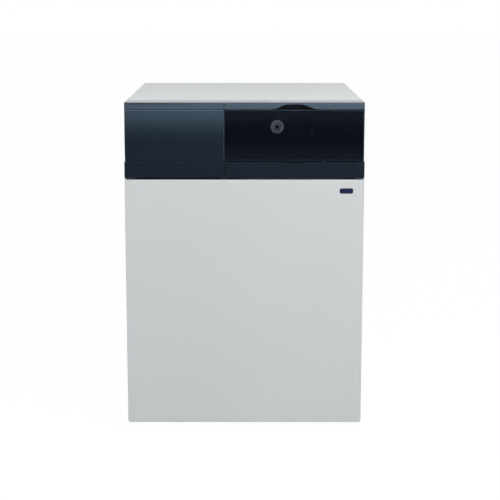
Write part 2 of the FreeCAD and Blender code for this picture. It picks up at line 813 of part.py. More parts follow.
def make_door():
    """Front door: a pressed pan with pivot pins at its foot and studs near its top."""
    door = Piece("front_door")
    r = S.door_corner
    w = S.sheet
    door.pad("xz", front, door_back, Loop([
        (half - r, S.door_foot),
        (half, S.door_foot + r, r, 1),
        (half, door_top),
        (-half, door_top),
        (-half, S.door_foot + r),
        (-half + r, S.door_foot, r, 1),
    ]))
    r = S.door_corner - w
    door.pocket("xz", front + w, door_back, Loop([
        (half - w - r, S.door_foot + w),
        (half - w, S.door_foot + w + r, r, 1),
        (half - w, door_top - w),
        (-half + w, door_top - w),
        (-half + w, S.door_foot + w + r),
        (-half + w + r, S.door_foot + w, r, 1),
    ]))
    toe = front + S.door_toe
    door.pocket("yz", -half, half, Loop([
        (toe, S.door_foot),
        (door_back, S.door_foot),
        (door_back, pivot_z + S.pivot_rad),
        (toe, pivot_z - S.pivot_in),
    ]))
    x, z = S.badge_wide / 2, S.badge_high / 2
    badge_shape = rounded(
        badge_x - x, badge_z - z, badge_x + x, badge_z + z, S.badge_round,
    )
    door.pocket("xz", front, front + S.badge_sink, badge_shape)
    face = front.value + 0.01
    reach = S.badge_wide.value / 2 + 1
    mid_x, mid_z = badge_x.value, badge_z.value
    door.soften(
        S.edge_round,
        lambda p, d: p.y < face and max(abs(p.x - mid_x), abs(p.z - mid_z)) > reach,
    )

    pin = cylinder(
        "pivot_pin", (-half + w, pivot_y, pivot_z), "+x", S.pivot_rad, S.pivot_long,
    )
    stud = cylinder(
        "door_stud", (-half + S.catch_in, front + w, catch_z), "+y", S.catch_rad, stud_long,
    )
    pair = [pin, flip("pivot_pin_right", pin, "x"), stud, flip("door_stud_right", stud, "x")]
    node("door_pins", group("pins_and_studs", *pair))

    lining = Piece("door_insulation")
    side = half - w - S.lining_in
    lining.pad(
        "xz", front + w, front + w + S.door_lining,
        rounded(-side, pivot_z + S.lining_in, side, door_top - w - S.seat, S.lining_in),
    )
    hole = S.catch_rad + S.seat
    lining.pocket(
        "xz", front + w, front + w + S.door_lining,
        Disc(-half + S.catch_in, catch_z, hole), Disc(half - S.catch_in, catch_z, hole),
    )

    badge = Piece("badge")
    badge.pad("xz", front, front + S.badge_sink, badge_shape)


def make_rail():
    """Rail across the front that ties the side panels and holds the door's catches."""
    rail = Piece("front_cross_rail")
    edge = half - S.sheet - S.gap
    rail_front = side_front + S.sheet
    rail_back = rail_front + S.rail_deep
    top = panel_foot - S.gap
    foot = top - S.rail_high
    rail.pad("yz", -edge, edge, Loop([
        (rail_front, foot),
        (rail_back, foot),
        (rail_back, foot + S.sheet),
        (rail_front + S.sheet, foot + S.sheet),
        (rail_front + S.sheet, top - S.sheet),
        (rail_back, top - S.sheet),
        (rail_back, top),
        (rail_front, top),
    ]))
    hole = S.catch_rad + S.catch_clear
    spots = [Disc(x, catch_z, hole) for x in (-half + S.catch_in, half - S.catch_in)]
    rail.pocket("xz", rail_front, rail_front + S.sheet, *spots)
    inner = rail_front + S.sheet
    jaw = S.catch_rad + S.gap
    wide = S.catch_rad * 2
    for x in (-half + S.catch_in, half - S.catch_in):
        for low, high in ((-jaw - S.sheet, -jaw), (jaw, jaw + S.sheet)):
            rail.pad("xz", inner, inner + S.jaw_deep, box(
                x - wide, catch_z + low, x + wide, catch_z + high,
            ))


# --- Control panel ----------------------------------------------------------------------


def make_housing():
    """Moulded tray with two bays, a divider and a cheek that carry the flap's pins."""
    tray = Piece("panel_housing")
    w = S.panel_wall
    step = front + S.strip_shelf + S.seat
    shelf = strip_top + S.seat
    roof = S.high - w
    tray.pad("yz", -panel_half, panel_half, Loop([
        (step, tray_foot),
        (panel_back, tray_foot),
        (panel_back, roof),
        (shell_front, roof),
        (shell_front, shelf),
        (step, shelf),
    ]))
    left_bay = box(-panel_half + w, tray_foot + w, S.seam_x - w / 2, roof - w)
    right_bay = box(S.seam_x + w / 2, tray_foot + w, panel_half - S.cheek, roof - w)
    tray.pocket("xz", step - S.panel_deep, panel_back - w, left_bay, right_bay)
    cheek_front = front + S.cheek_in
    cheek_top = band_foot - S.gap
    for low, high in (
        (S.seam_x - w / 2, S.seam_x + w / 2),
        (panel_half - S.cheek, panel_half),
    ):
        tray.pad("yz", low, high, box(cheek_front, shelf, shell_front + w, cheek_top))
    pin_hole = Disc(flap_axis_y, flap_axis_z, S.flap_pin_rad + S.slip)
    reach = S.flap_pin_long + S.seat
    tray.pocket("yz", S.seam_x + w / 2 - reach, S.seam_x + w / 2, pin_hole)
    tray.pocket("yz", panel_half - S.cheek, panel_half - S.cheek + reach, pin_hole)
    inset = S.post_rad + S.seat
    low_x, high_x = S.seam_x + w / 2 + inset, panel_half - S.cheek - inset
    posts = [
        Disc(x, z, S.post_rad) for x in (low_x, high_x) for z in (plate_foot + inset, plate_top - inset)
    ]
    tray.pad("xz", plate_rear, panel_back - w, *posts)
    for side in (-1, 1):
        low, high = ordered((half - S.foot_in) * side, (half - S.foot_in * 2) * side)
        tray.pad(
            "xy", panel_foot - S.gap, tray_foot,
            box(low, side_front + S.sheet, high, side_front + S.sheet + S.rail_deep),
        )
    rear, roof_edge = (panel_back - S.crisp).value, (S.high - S.band_round).value
    tray.soften(S.edge, lambda p, d: abs(d.z) > 0.9 and p.y > rear and p.z < roof_edge)


def band_profile():
    """Side view of a top band: a flat top that rolls over into a front that leans back."""
    w, r, lean = S.panel_wall, S.band_round, S.band_lean
    rise = r / 6
    return Loop([
        (front, band_foot),
        (front + w, band_foot),
        (front + lean + w, S.high - r),
        (front + lean + r, S.high - w, r - w, -1),
        (panel_back, S.high - w),
        (panel_back, S.high),
        (front + lean + r, S.high),
        (front + lean, S.high - r + rise, r, 1),
    ])


def make_bands():
    """Two top bands; the right one has the bell-shaped finger arch over the flap."""
    left = Piece("left_band")
    left.pad("yz", -panel_half, S.seam_x - S.seam / 2, band_profile())
    right = Piece("right_band")
    right.pad("yz", S.seam_x + S.seam / 2, panel_half, band_profile())
    a, f, tall = S.arch_half, S.arch_flat, S.arch_high
    foot = band_foot
    bend = ((a - f) * (a - f) + tall * tall) / (tall * 4)
    x = arch_x
    right.pocket("xz", front, front + S.band_round, Loop([
        (x - a, foot, bend, -1),
        (x + a, foot),
        (x + (a + f) / 2, foot + tall / 2, bend, -1),
        (x + f, foot + tall, bend, 1),
        (x - f, foot + tall),
        (x - (a + f) / 2, foot + tall / 2, bend, 1),
    ]))


def bowed_profile(foot, thick):
    """Side view of a sheet that bows outwards between its bottom and top edges."""
    tall = cover_top - foot
    bow = (tall * tall / 4 + S.cover_bulge * S.cover_bulge) / (S.cover_bulge * 2)
    edge = front + S.cover_bulge
    return Loop([
        (edge, foot, bow, 1),
        (edge + thick, foot),
        (edge + thick, cover_top, bow, -1),
        (edge, cover_top),
    ])


def make_cover():
    """Bowed left cover with a rim behind its edges."""
    cover = Piece("left_cover")
    w = S.panel_wall
    left, right = -panel_half, S.seam_x - w / 2 - S.seat
    cover.pad("yz", left, right, bowed_profile(cover_foot, w))
    cover.pad(
        "xz", front + S.cover_bulge, shell_front - S.seat,
        box(left, cover_foot, right, cover_top),
        box(left + w, cover_foot + w, right - w, cover_top - w),
    )


def make_strips():
    """Lower strips under cover and flap: a shelf, a front and the vent openings."""
    w, r = S.panel_wall, S.strip_round
    top, foot = strip_top, panel_foot
    profile = Loop([
        (front + w, foot),
        (front + w, top - w),
        (front + S.strip_shelf, top - w),
        (front + S.strip_shelf, top),
        (front + r, top),
        (front, top - r, r, 1),
        (front, foot),
    ])
    for label, near, far in (
        ("left_strip", S.seam_x - S.seam / 2, -half),
        ("right_strip", S.seam_x + S.seam / 2, half),
    ):
        strip = Piece(label)
        side = 1 if label == "right_strip" else -1
        low, high = ordered(near, far)
        strip.pad("yz", low, high, profile)
        low, high = ordered(far, far - w * side)
        strip.pad("yz", low, high, box(front + w / 2, foot, front + S.strip_shelf, top - w / 2))
        mouth = foot + S.vent_high
        deep = front + w
        if side < 0:
            strip.pocket("xz", front, deep, box(far + S.corner_post, foot, near - w, mouth))
        else:
            gap_half = (S.vent_pitch - S.vent_rib) / 2
            first = S.vent_first + S.vent_pitch / 2
            last = S.vent_first + S.vent_pitch * (S.vent_count - 1) + S.vent_rib / 2
            strip.pocket("xz", front, deep, box(near + w, foot, S.vent_first - S.vent_rib / 2, mouth))
            strip.pocket("xz", front, deep, box(last, foot, far - S.corner_post, mouth))
            slot = strip.pocket(
                "xz", front, deep, box(first - gap_half, foot, first + gap_half, mouth),
            )
            strip.row(slot, "H_Axis", S.vent_pitch, S.vent_count - 1)
            strip.pocket(
                "xz", front, front + S.strip_shelf - w,
                box(arch_x - S.notch_half, top - S.notch_deep, arch_x + S.notch_half, top),
            )
        tip, low = abs(far.value) - S.crisp.value, (foot + S.crisp).value
        strip.soften(S.strip_corner, lambda p, d: abs(p.x) > tip and p.z < low and abs(d.y) > 0.9)


def make_flap():
    """Smoked flap, bowed like the left cover, with a hinge barrel and two pins."""
    flap = Piece("smoked_flap")
    left = S.seam_x + S.panel_wall / 2 + S.gap
    right = panel_half - S.cheek - S.gap
    flap.pad("yz", left, right, bowed_profile(flap_foot, S.flap_thick))
    flap.pad("yz", left, right, Disc(flap_axis_y, flap_axis_z, S.flap_barrel))
    reach = S.flap_pin_long + S.gap
    pin = Disc(flap_axis_y, flap_axis_z, S.flap_pin_rad)
    flap.pad("yz", left - reach, left, pin)
    flap.pad("yz", right, right + reach, pin)


def make_instruments():
    """Instrument plate with the thermostat, the mains switch and the limit reset."""
    w = S.panel_wall
    plate = Piece("instrument_plate")
    plate.pad("xz", plate_front, plate_rear, box(
        S.seam_x + w / 2 + S.seat, plate_foot, panel_half - S.cheek - S.seat, plate_top,
    ))
    key_half, key_tall = S.rocker_wide / 2, S.rocker_high / 2
    shell = S.rocker_wall + S.seat
    plate.pocket(
        "xz", plate_front, plate_rear,
        Disc(S.knob_x, knob_z, S.neck_rad + S.seat),
        box(
            S.rocker_x - key_half - shell - S.seat, rocker_z - key_tall - shell - S.seat,
            S.rocker_x + key_half + shell + S.seat, rocker_z + key_tall + shell + S.seat,
        ),
        Disc(S.reset_x, rocker_z, S.reset_rad + S.rocker_wall + S.seat * 2),
    )

    knob = Piece("thermostat_knob", (S.knob_x, plate_front - S.gap, knob_z), "-y")
    rim, deep, edge, crisp = S.knob_rad, S.dial_high, S.edge, S.crisp
    turn_y = plate_rear + S.thermo_deep / 2
    spindle = turn_y - plate_front + S.gap
    knob.revolve(Loop([
        (0, -spindle),
        (S.spindle_rad, -spindle),
        (S.spindle_rad, 0),
        (rim - crisp, 0),
        (rim, crisp),
        (rim, deep - edge),
        (rim - edge, deep),
        (S.hub_rad, deep),
        (S.hub_rad, S.knob_high - crisp),
        (S.hub_rad - crisp, S.knob_high),
        (0, S.knob_high),
    ]))
    flute = knob.pocket("xy", -crisp, deep - edge, Disc(rim + S.flute_rad / 2, 0, S.flute_rad))
    knob.ring(flute, S.flutes)

    thermo = Piece("thermostat_body")
    size = S.thermo_size / 2
    thermo.pad("xz", plate_rear, plate_rear + S.thermo_deep, rounded(
        S.knob_x - size, knob_z - size, S.knob_x + size, knob_z + size, w,
    ))
    thermo.pad("xz", plate_front + w / 2, plate_rear, Disc(S.knob_x, knob_z, S.neck_rad))
    thermo.pocket(
        "xz", plate_front, turn_y + S.seat, Disc(S.knob_x, knob_z, S.spindle_rad + S.slip),
    )

    bezel = Piece("rocker_bezel")
    lip = S.rocker_rim + shell
    x, z = S.rocker_x, rocker_z
    bezel.pad("xz", plate_front - S.rocker_lip, plate_front, rounded(
        x - key_half - lip, z - key_tall - lip, x + key_half + lip, z + key_tall + lip, edge,
    ))
    bezel.pad("xz", plate_front, plate_rear + S.rocker_deep, box(
        x - key_half - shell, z - key_tall - shell, x + key_half + shell, z + key_tall + shell,
    ))
    room = S.seat
    bezel.pocket("xz", plate_front - S.rocker_lip, plate_rear + S.rocker_deep - w, box(
        x - key_half - room, z - key_tall - room, x + key_half + room, z + key_tall + room,
    ))
    axle = Disc(rocker_axis_y, z, S.axle_rad + S.slip)
    bezel.pocket("yz", x - key_half - shell, x + key_half + shell, axle)

    key = Piece("rocker_key")
    tilt = Rotation(Vector(1, 0, 0), -S.rocker_tilt.value)
    locate(key.body, (x, rocker_axis_y, z))
    key.body.Placement = Placement(key.body.Placement.Base, tilt)
    crown, waist, ease = S.rocker_crown, key_tall - edge, S.rocker_ease
    key.pad("yz", -key_half, key_half, Loop([
        (-crown, -key_tall + ease),
        (-S.rocker_lip, -waist),
        (S.rocker_back, -waist / 2),
        (S.rocker_back, waist / 2),
        (-S.rocker_lip, waist),
        (-crown, key_tall - ease),
        (-crown + S.rocker_dish, 0),
    ]))
    ends = key_half + shell - S.seat
    key.pad("yz", -ends, ends, Disc(0, 0, S.axle_rad))

    collar = Piece("reset_collar", (S.reset_x, plate_front, rocker_z), "-y")
    inner = S.reset_rad + S.slip
    wide = inner + S.rocker_wall
    flange = S.reset_rad + S.reset_lip
    deep = S.reset_deep
    collar.revolve(Loop([
        (inner, -w),
        (flange + S.seat, -w),
        (flange + S.seat, -deep),
        (0, -deep),
        (0, -deep - w),
        (wide + S.reset_lip + S.seat, -deep - w),
        (wide + S.reset_lip + S.seat, -w - S.seat),
        (wide, -w - S.seat),
        (wide, 0),
        (wide + S.rocker_rim, 0),
        (wide + S.rocker_rim, S.rocker_lip),
        (inner, S.rocker_lip),
    ]))
    button = Piece("reset_button", (S.reset_x, plate_front, rocker_z), "-y")
    root, tip = -w - S.seat, S.rocker_lip + S.reset_out
    button.revolve(Loop([
        (0, root - S.reset_flange),
        (flange, root - S.reset_flange),
        (flange, root),
        (S.reset_rad, root),
        (S.reset_rad, tip - crisp),
        (S.reset_rad - crisp, tip),
        (0, tip),
    ]))


def make_terminals():
    """Terminal block on the back wall of the left bay."""
    strip = Piece("terminal_block")
    base = panel_back - S.panel_wall
    middle = (S.seam_x - panel_half) / 2
    pitch = S.terminal_pitch
    long = pitch * S.terminals / 2
    z = rocker_z
    strip.pad("xz", base - S.terminal_high, base, box(
        middle - long, z - S.terminal_half, middle + long, z + S.terminal_half,
    ))
    first = middle - long + pitch / 2
    well = strip.pocket(
        "xz", base - S.terminal_high, base - S.terminal_high / 3,
        box(first - pitch / 3, z - S.terminal_half / 1.5, first + pitch / 3, z + S.terminal_half / 1.5),
    )
    strip.row(well, "H_Axis", pitch, S.terminals)


# --- Boiler block -----------------------------------------------------------------------


def corner_spots(u, v):
    """The four corners at plus and minus u round the middle of the block's height."""
    middle = S.block_foot + S.block_high / 2
    return [(side * u, middle + up * v) for side in (-1, 1) for up in (-1, 1)]


def make_section(label, start, end, chamber):
    """One cast-iron section with a flange at each joint and holes for the tie rods."""
    section = Piece(label)
    low, high, r = S.block_foot, block_top, S.block_round
    hole = [Disc(0, S.burner_z, S.chamber_rad)] if chamber else []
    section.pad("xz", start, end, rounded(-S.block_half, low, S.block_half, high, r), *hole)
    lip = S.rib_deep
    ring = rounded(-S.block_half - lip, low - lip, S.block_half + lip, high + lip, r + lip)
    section.pad("xz", start, start + S.rib_wide, ring, *hole)
    section.pad("xz", end - S.rib_wide, end, ring, *hole)
    rods = corner_spots(S.block_half - S.tie_in, S.block_high / 2 - S.tie_in)
    section.pocket("xz", start, end, *(Disc(x, z, S.tie_rad + S.seat) for x, z in rods))


def make_block():
    """The bolted block of three sections, its tie rods, cradle and jacket."""
    make_section("front_section", block_front, middle_front, True)
    make_section("middle_section", middle_front, rear_front, True)
    make_section("rear_section", rear_front, block_rear, False)

    nut = S.tie_rad * 1.8
    length = block_rear - block_front + nut * 2
    rods = []
    for i, (x, z) in enumerate(corner_spots(S.block_half - S.tie_in, S.block_high / 2 - S.tie_in)):
        rod = cylinder(f"rod{i}", (x, block_front - nut, z), "+y", S.tie_rad, length)
        near = prism(f"rod_nut{i}", (x, block_front, z), "-y", nut, nut * 0.75)
        far = prism(f"rod_nut_far{i}", (x, block_rear, z), "+y", nut, nut * 0.75)
        rods.append(fuse(f"tie_rod{i}", rod, near, far))
    node("tie_rods", group("rods", *rods))

    wide, foot = S.cradle_wide, S.block_foot - S.rib_deep
    x = S.block_half - S.cradle_wide * 2
    w = S.sheet * 2
    start, end = block_front + S.rib_wide, block_rear - S.rib_wide
    rail = block("cradle_rail", (x, start, base_top), (x + wide, end, foot))
    hollow = block("cradle_hollow", (x + w, start, base_top), (x + wide - w, end, foot - w))
    channel = cut("cradle_right", rail, hollow)
    node("block_cradle", group("cradle", channel, flip("cradle_left", channel, "x")))

    jacket = Piece("insulation_jacket")
    inner = S.block_half + S.rib_deep + S.seat
    outer = inner + S.jacket
    top = block_top + S.rib_deep + S.seat
    jacket.pad("xz", block_front + S.rib_deep, block_rear - S.rib_deep, Loop([
        (-outer, S.block_foot),
        (-inner, S.block_foot),
        (-inner, top),
        (inner, top),
        (inner, S.block_foot),
        (outer, S.block_foot),
        (outer, top),
        (inner, top + S.jacket, S.jacket, 1),
        (-inner, top + S.jacket),
        (-outer, top, S.jacket, 1),
    ]))


def make_combustion_door():
    """Cast door that carries the burner, with ribs, rope seal, refractory and nuts."""
    door = Piece("combustion_door")
    u, v = S.block_half - S.plate_edge, S.block_high / 2 - S.plate_edge
    middle = S.block_foot + S.block_high / 2
    door.pad("xz", door_face, door_face + S.plate_thick, rounded(
        -u, middle - v, u, middle + v, S.block_round,
    ))
    rib = S.plate_rib
    reach = v - S.block_round
    side = S.bflange_half + S.plate_edge
    for x in (-side, side):
        door.pad("xz", door_face - rib, door_face, box(
            x - rib / 2, middle - reach, x + rib / 2, middle + reach,
        ))
    door.pad("xz", door_face - rib, door_face, box(
        -side, middle + reach - rib, side, middle + reach,
    ))
    studs = corner_spots(u - S.stud_in, v - S.stud_in)
    door.pocket(
        "xz", door_face, door_face + S.plate_thick,
        Disc(0, S.burner_z, S.tube_rad + S.seat), Disc(0, S.sight_z, S.sight_rad / 2),
        *(Disc(x, z, S.stud_rad + S.seat) for x, z in studs),
    )

    seal = Piece("rope_seal")
    rim, wide = S.rope_in, S.rope_wide
    seal.pad(
        "xz", block_front - S.rope, block_front,
        rounded(-u + rim, middle - v + rim, u - rim, middle + v - rim, S.block_round - rim / 2),
        rounded(
            -u + rim + wide, middle - v + rim + wide, u - rim - wide, middle + v - rim - wide,
            S.block_round - rim / 2 - wide / 2,
        ),
    )

    brick = Piece("door_refractory")
    brick.pad(
        "xz", block_front - S.rope, block_front + S.refractory,
        Disc(0, S.burner_z, S.chamber_rad - S.rope), Disc(0, S.burner_z, S.tube_rad + S.seat * 2),
    )

    nut = S.stud_rad * 1.8
    nuts = []
    for i, (x, z) in enumerate(studs):
        spot = (x, block_front, z)
        long = block_front - door_face + nut
        stud = cylinder(f"door_stud{i}", spot, "-y", S.stud_rad, long)
        head = prism(f"door_nut{i}", (x, door_face, z), "-y", nut, nut * 0.8)
        nuts.append(fuse(f"door_fixing{i}", stud, head))
    for i, (x, v) in enumerate((a, b) for a in (-bolt_at, bolt_at) for b in (-bolt_at, bolt_at)):
        spot = (x, burner_face, S.burner_z + v)
        head = prism(f"bolt_head{i}", spot, "-y", S.bolt_rad * 1.8, S.bolt_rad * 1.3)
        shank = cylinder(f"bolt_shank{i}", spot, "+y", S.bolt_rad, door_face - burner_face)
        nuts.append(fuse(f"burner_bolt{i}", head, shank))
    node("door_and_burner_fixings", group("fixings", *nuts))

    glass = Piece("sight_glass", (0, door_face, S.sight_z), "-y")
    r = S.sight_rad
    glass.revolve(Loop([
        (0, 0),
        (r, 0),
        (r, r / 3),
        (r * 0.8, r / 2),
        (r * 0.5, r / 2),
        (r * 0.4, r / 4),
        (0, r / 4),
    ]))


def make_connections():
    """Flue hood and collar, flow and return pipes, sensor pocket and drain cock."""
    hood = Piece("flue_hood", (0, block_rear, S.flue_z), "+y")
    neck = S.flue_rad + S.flue_wall + S.slip
    inner = S.flue_rad - S.hood_wall
    w, deep, flat = S.hood_wall, S.hood_deep, S.hood_half
    hood.revolve(Loop([
        (inner, 0),
        (flat, 0),
        (flat, w * 2),
        (neck + w * 3, w * 2),
        (neck + w, deep / 2),
        (neck + w, deep),
        (neck, deep),
        (neck, deep / 2),
        (inner, deep / 2),
    ]))
    tab = hood.pocket("xy", 0, w * 2, Disc(flat - w * 2, 0, S.stud_rad - w / 4))
    hood.ring(tab, 4)

    collar = Piece("flue_collar", (0, block_rear + deep / 2, S.flue_z), "+y")
    long = stub_end - block_rear - deep / 2
    bore, out = S.flue_rad, S.flue_rad + S.flue_wall
    collar.revolve(box(bore, 0, out, long))

    for label, x, z in (
        ("flow_pipe", -S.pipe_x, S.flow_z),
        ("return_pipe", S.pipe_x, S.return_z),
    ):
        pipe = Piece(label, (x, block_rear, z), "+y")
        bore, out, nut = S.pipe_rad - S.pipe_wall, S.pipe_rad, S.union_long
        pipe.revolve(Loop([
            (bore, 0),
            (S.union_rad, 0),
            (S.union_rad, nut * 0.6),
            (out + S.pipe_wall * 2, nut * 0.6),
            (out + S.pipe_wall * 2, nut),
            (out, nut),
            (out, stub_end - block_rear),
            (bore, stub_end - block_rear),
        ]))

    spot = (drain_x, block_front, S.drain_z)
    r = S.drain_rad
    body = cylinder("drain_body", spot, "-y", r, r * 3)
    nut = prism("drain_nut", spot, "-y", r * 1.5, r)
    hose = cylinder("drain_hose", (drain_x, block_front - r * 2, S.drain_z), "-z", r * 0.6, r * 2.6)
    node("drain_cock", fuse("drain", body, nut, hose))
    lever = Piece("drain_lever", (drain_x, block_front - r * 3 - S.seat, S.drain_z))
    lever.pad("xz", -r * 0.6, 0, Disc(0, 0, r * 0.8))
    lever.pad("xz", -r * 0.6, -r * 0.2, rounded(-r * 0.4, 0, r * 0.4, r * 3.2, r * 0.35))


# --- Burner -----------------------------------------------------------------------------


def scroll_outline(wall, short=0):
    """Side view of the scroll about the fan axis, its inside moved out by a wall."""
    e = S.scroll_grow / 2
    one, two, three = S.scroll + wall, S.scroll + S.scroll_grow + wall, S.scroll + S.scroll_grow * 2 + wall
    face = burner_face - fan_y - short
    foot = -e - three
    head = S.burner_z + S.duct_half + wall - fan_z
    return Loop([
        (one - e, e),
        (-e, e + one, one, 1),
        (-e - two, -e, two, 1),
        (e, foot, three, 1),
        (face, foot),
        (face, head),
        (one - e + S.scroll_wall * 2, head),
    ])


def sector(inner, outer, half_sweep):
    """Outline of a window between two radii, half_sweep degrees to each side of an axis."""
    turn = math.radians(half_sweep.value)
    c, s = round(math.cos(turn), 6), round(math.sin(turn), 6)
    return Loop([
        (inner * c, -inner * s, inner, -1),
        (outer * c, -outer * s),
        (outer * c, outer * s, outer, 1),
        (inner * c, inner * s),
    ])


def air_windows(piece, start, end):
    """Four air windows round the fan axis, cut or repeated in a flat wall."""
    inner, outer = S.boss_rad + S.scroll_wall * 2, S.inlet_rad
    first = piece.pocket("yz", start, end, sector(inner, outer, S.window_half))
    piece.ring(first, S.windows, "X_Axis")


def make_scroll():
    """Scroll casting with its outlet, air windows and pump boss, and its cover."""
    w, x = S.scroll_wall, S.scroll_half
    scroll = Piece("fan_scroll", (0, fan_y, fan_z))
    scroll.pad("yz", -x, x - w, scroll_outline(w))
    face = burner_face - fan_y
    middle = S.burner_z - fan_z
    lip = S.duct_half + w * 3
    scroll.pad("xz", face - w, face, rounded(-x - w * 2, middle - lip, x + w * 2, middle + lip, w * 2))
    top = S.scroll + S.scroll_grow / 2 + w * 2
    scroll.pad("xy", S.scroll_grow * 6, top, box(-x + w, -x / 2, x - w * 2, x / 2))
    scroll.pocket("yz", -x + w, x + w * 3, scroll_outline(0))
    scroll.pad("yz", -x - S.boss_long, -x + w, Disc(0, 0, S.boss_rad))
    scroll.pocket("yz", -x - S.boss_long, -x + w, Disc(0, 0, S.shaft_rad + S.slip))
    air_windows(scroll, -x, -x + w)
    scroll.pocket("yz", -x, -x + w, Disc(line_y - fan_y, middle, S.nozzle_rad + S.slip))
    scroll.pocket(
        "xy", middle + S.duct_half, middle + S.duct_half + w,
        Disc(0, cell_y - fan_y, S.cell_rad + S.slip),
    )

    cover = Piece("scroll_cover", (0, fan_y, fan_z))
    cover.pad("yz", x - w, x, scroll_outline(w, w + S.seat))
    hub = cover.pocket("yz", x - w, x, Disc(0, 0, S.boss_rad))
    hub.Label = "motor_opening"

    shutter = Piece("air_shutter", (0, fan_y, fan_z))
    near = -x - S.seat
    shutter.pad("yz", near - S.shutter, near, Disc(0, 0, S.inlet_rad + w))
    shutter.pad("yz", near - S.shutter, near, rounded(
        -w * 2, S.inlet_rad, w * 2, S.inlet_rad + w * 5, w,
    ))
    shutter.pocket("yz", near - S.shutter, near, Disc(0, 0, S.boss_rad + S.slip))
    air_windows(shutter, near - S.shutter, near)


def make_fan():
    """Fan wheel with curved blades between its plate and ring, and its shaft."""
    wheel = Piece("fan_wheel", (-S.fan_wide / 2, fan_y, fan_z), "+x")
    t, wide = S.blade, S.fan_wide
    tip = S.fan_rad - t
    wheel.pad("xy", wide - t, wide, Disc(0, 0, S.fan_rad))
    lean = S.fan_rad * 0.14
    eye = S.fan_eye + t / 2
    blade = wheel.pad("xy", t / 2, wide - t / 2, Loop([
        (eye, 0),
        (tip, lean, S.fan_rad / 3, -1),
        (tip - t / 2, lean + t),
        (eye, t, S.fan_rad / 3, 1),
    ]))
    wheel.ring(blade, S.blades)
    wheel.pad("xy", 0, t, Disc(0, 0, S.fan_rad), Disc(0, 0, S.fan_eye))
    wheel.pad("xy", wide / 2, wide, Disc(0, 0, S.shaft_rad * 2.5))

    start = S.scroll_half + S.motor_bore
    end = S.scroll_half + S.boss_long + S.pump_bore
    offset = S.fan_wide / 2
    wheel.pad("xy", offset - end, offset + start, Disc(0, 0, S.shaft_rad))

    motor = Piece("fan_motor", (S.scroll_half, fan_y, fan_z), "+x")
    r, long, bell = S.motor_rad, S.motor_long, S.motor_rad / 5
    bore = S.shaft_rad + S.slip
    motor.revolve(Loop([
        (bore, 0),
        (r + bell, 0),
        (r + bell, S.sheet * 2),
        (r, S.sheet * 2),
        (r, long - bell),
        (r - bell, long, bell, 1),
        (0, long),
        (0, S.motor_bore + S.seat),
        (bore, S.motor_bore + S.seat),
    ]))
    groove = motor.pocket("xy", long - bell * 2, long - bell, Disc(r + bell / 3, 0, bell / 2))
    motor.ring(groove, S.motor_slots)


def make_pump():
    """Oil pump on the scroll's boss, its copper pipe and the nozzle line."""
    pump = Piece("oil_pump", (-S.scroll_half - S.boss_long, fan_y, fan_z))
    p, long = S.pump_half, S.pump_long
    pump.pad("yz", -long * 0.7, 0, rounded(-p, -p, p, p, p / 4))
    pump.pad("yz", -long, -long * 0.7, Disc(0, 0, p * 0.85))
    pump.pad("xz", -p * 1.4, -p + 1, Disc(-long * 0.4, p / 2, p / 4), Disc(-long * 0.4, -p / 3, p / 3))
    pump.pocket("yz", -S.pump_bore - S.seat, 0, Disc(0, 0, S.shaft_rad + S.slip))
    port_x = -S.pump_long * 0.4
    pump.pad("xy", -p - S.oil_rad * 3, -p + 1, Disc(port_x, 0, S.oil_rad * 2))

    pipe = Piece("oil_pipe", (pipe_x, fan_y, fan_z))
    top = -p - S.oil_rad * 3
    level = S.burner_z - fan_z
    bend = S.oil_rad * 4
    pipe.sweep(S.oil_rad, (0, top), [
        (0, level + bend),
        (bend, level, bend, 1),
        (line_y - fan_y - S.nozzle_rad * 1.2, level),
    ])

    r = S.nozzle_rad
    line = cylinder("line_tube", (0, line_y, S.burner_z), "+y", r, line_end - line_y)
    cross = cylinder("line_cross", (pipe_x - r, line_y, S.burner_z), "+x", r, r - pipe_x)
    clamp = block(
        "line_clamp",
        (-S.rod_x - r, clamp_y, S.burner_z - r),
        (S.rod_x + r, clamp_y + r, S.burner_z + S.rod_z + r),
    )
    holes = [
        cylinder(f"clamp_hole{i}", (x, clamp_y, S.burner_z + S.rod_z), "+y", S.rod_rad + S.slip, r)
        for i, x in enumerate((-S.rod_x, S.rod_x))
    ]
    elbow = prism("line_elbow", (pipe_x, line_y - r * 1.2, S.burner_z), "+y", r * 1.2, r * 2.4)
    nozzle = prism("nozzle_hex", (0, line_end, S.burner_z), "+y", r * 1.15, r)
    tip = doc.addObject("Part::Cone", "nozzle_tip")
    locate(tip, (0, line_end + r, S.burner_z), "+y")
    bind(tip, "Radius1", r * 0.9)
    bind(tip, "Radius2", r * 0.4)
    bind(tip, "Height", r)
    body = fuse("line_body", line, cross, clamp, elbow, nozzle, tip)
    node("nozzle_line", cut("line", body, *holes))

    rods = []
    tip_y = line_end + r * 2 + S.seat
    for i, x in enumerate((-S.rod_x, S.rod_x)):
        spot = (x, clamp_y - r * 5, S.burner_z + S.rod_z)
        body = cylinder(f"porcelain{i}", spot, "+y", S.rod_rad, line_end - clamp_y + r * 5)
        spot = (x, line_end, S.burner_z + S.rod_z)
        wire = cylinder(f"wire{i}", spot, "+y", S.rod_rad / 3, tip_y - line_end)
        rods.append(fuse(f"electrode{i}", body, wire))
    node("electrodes", group("rods_pair", *rods))


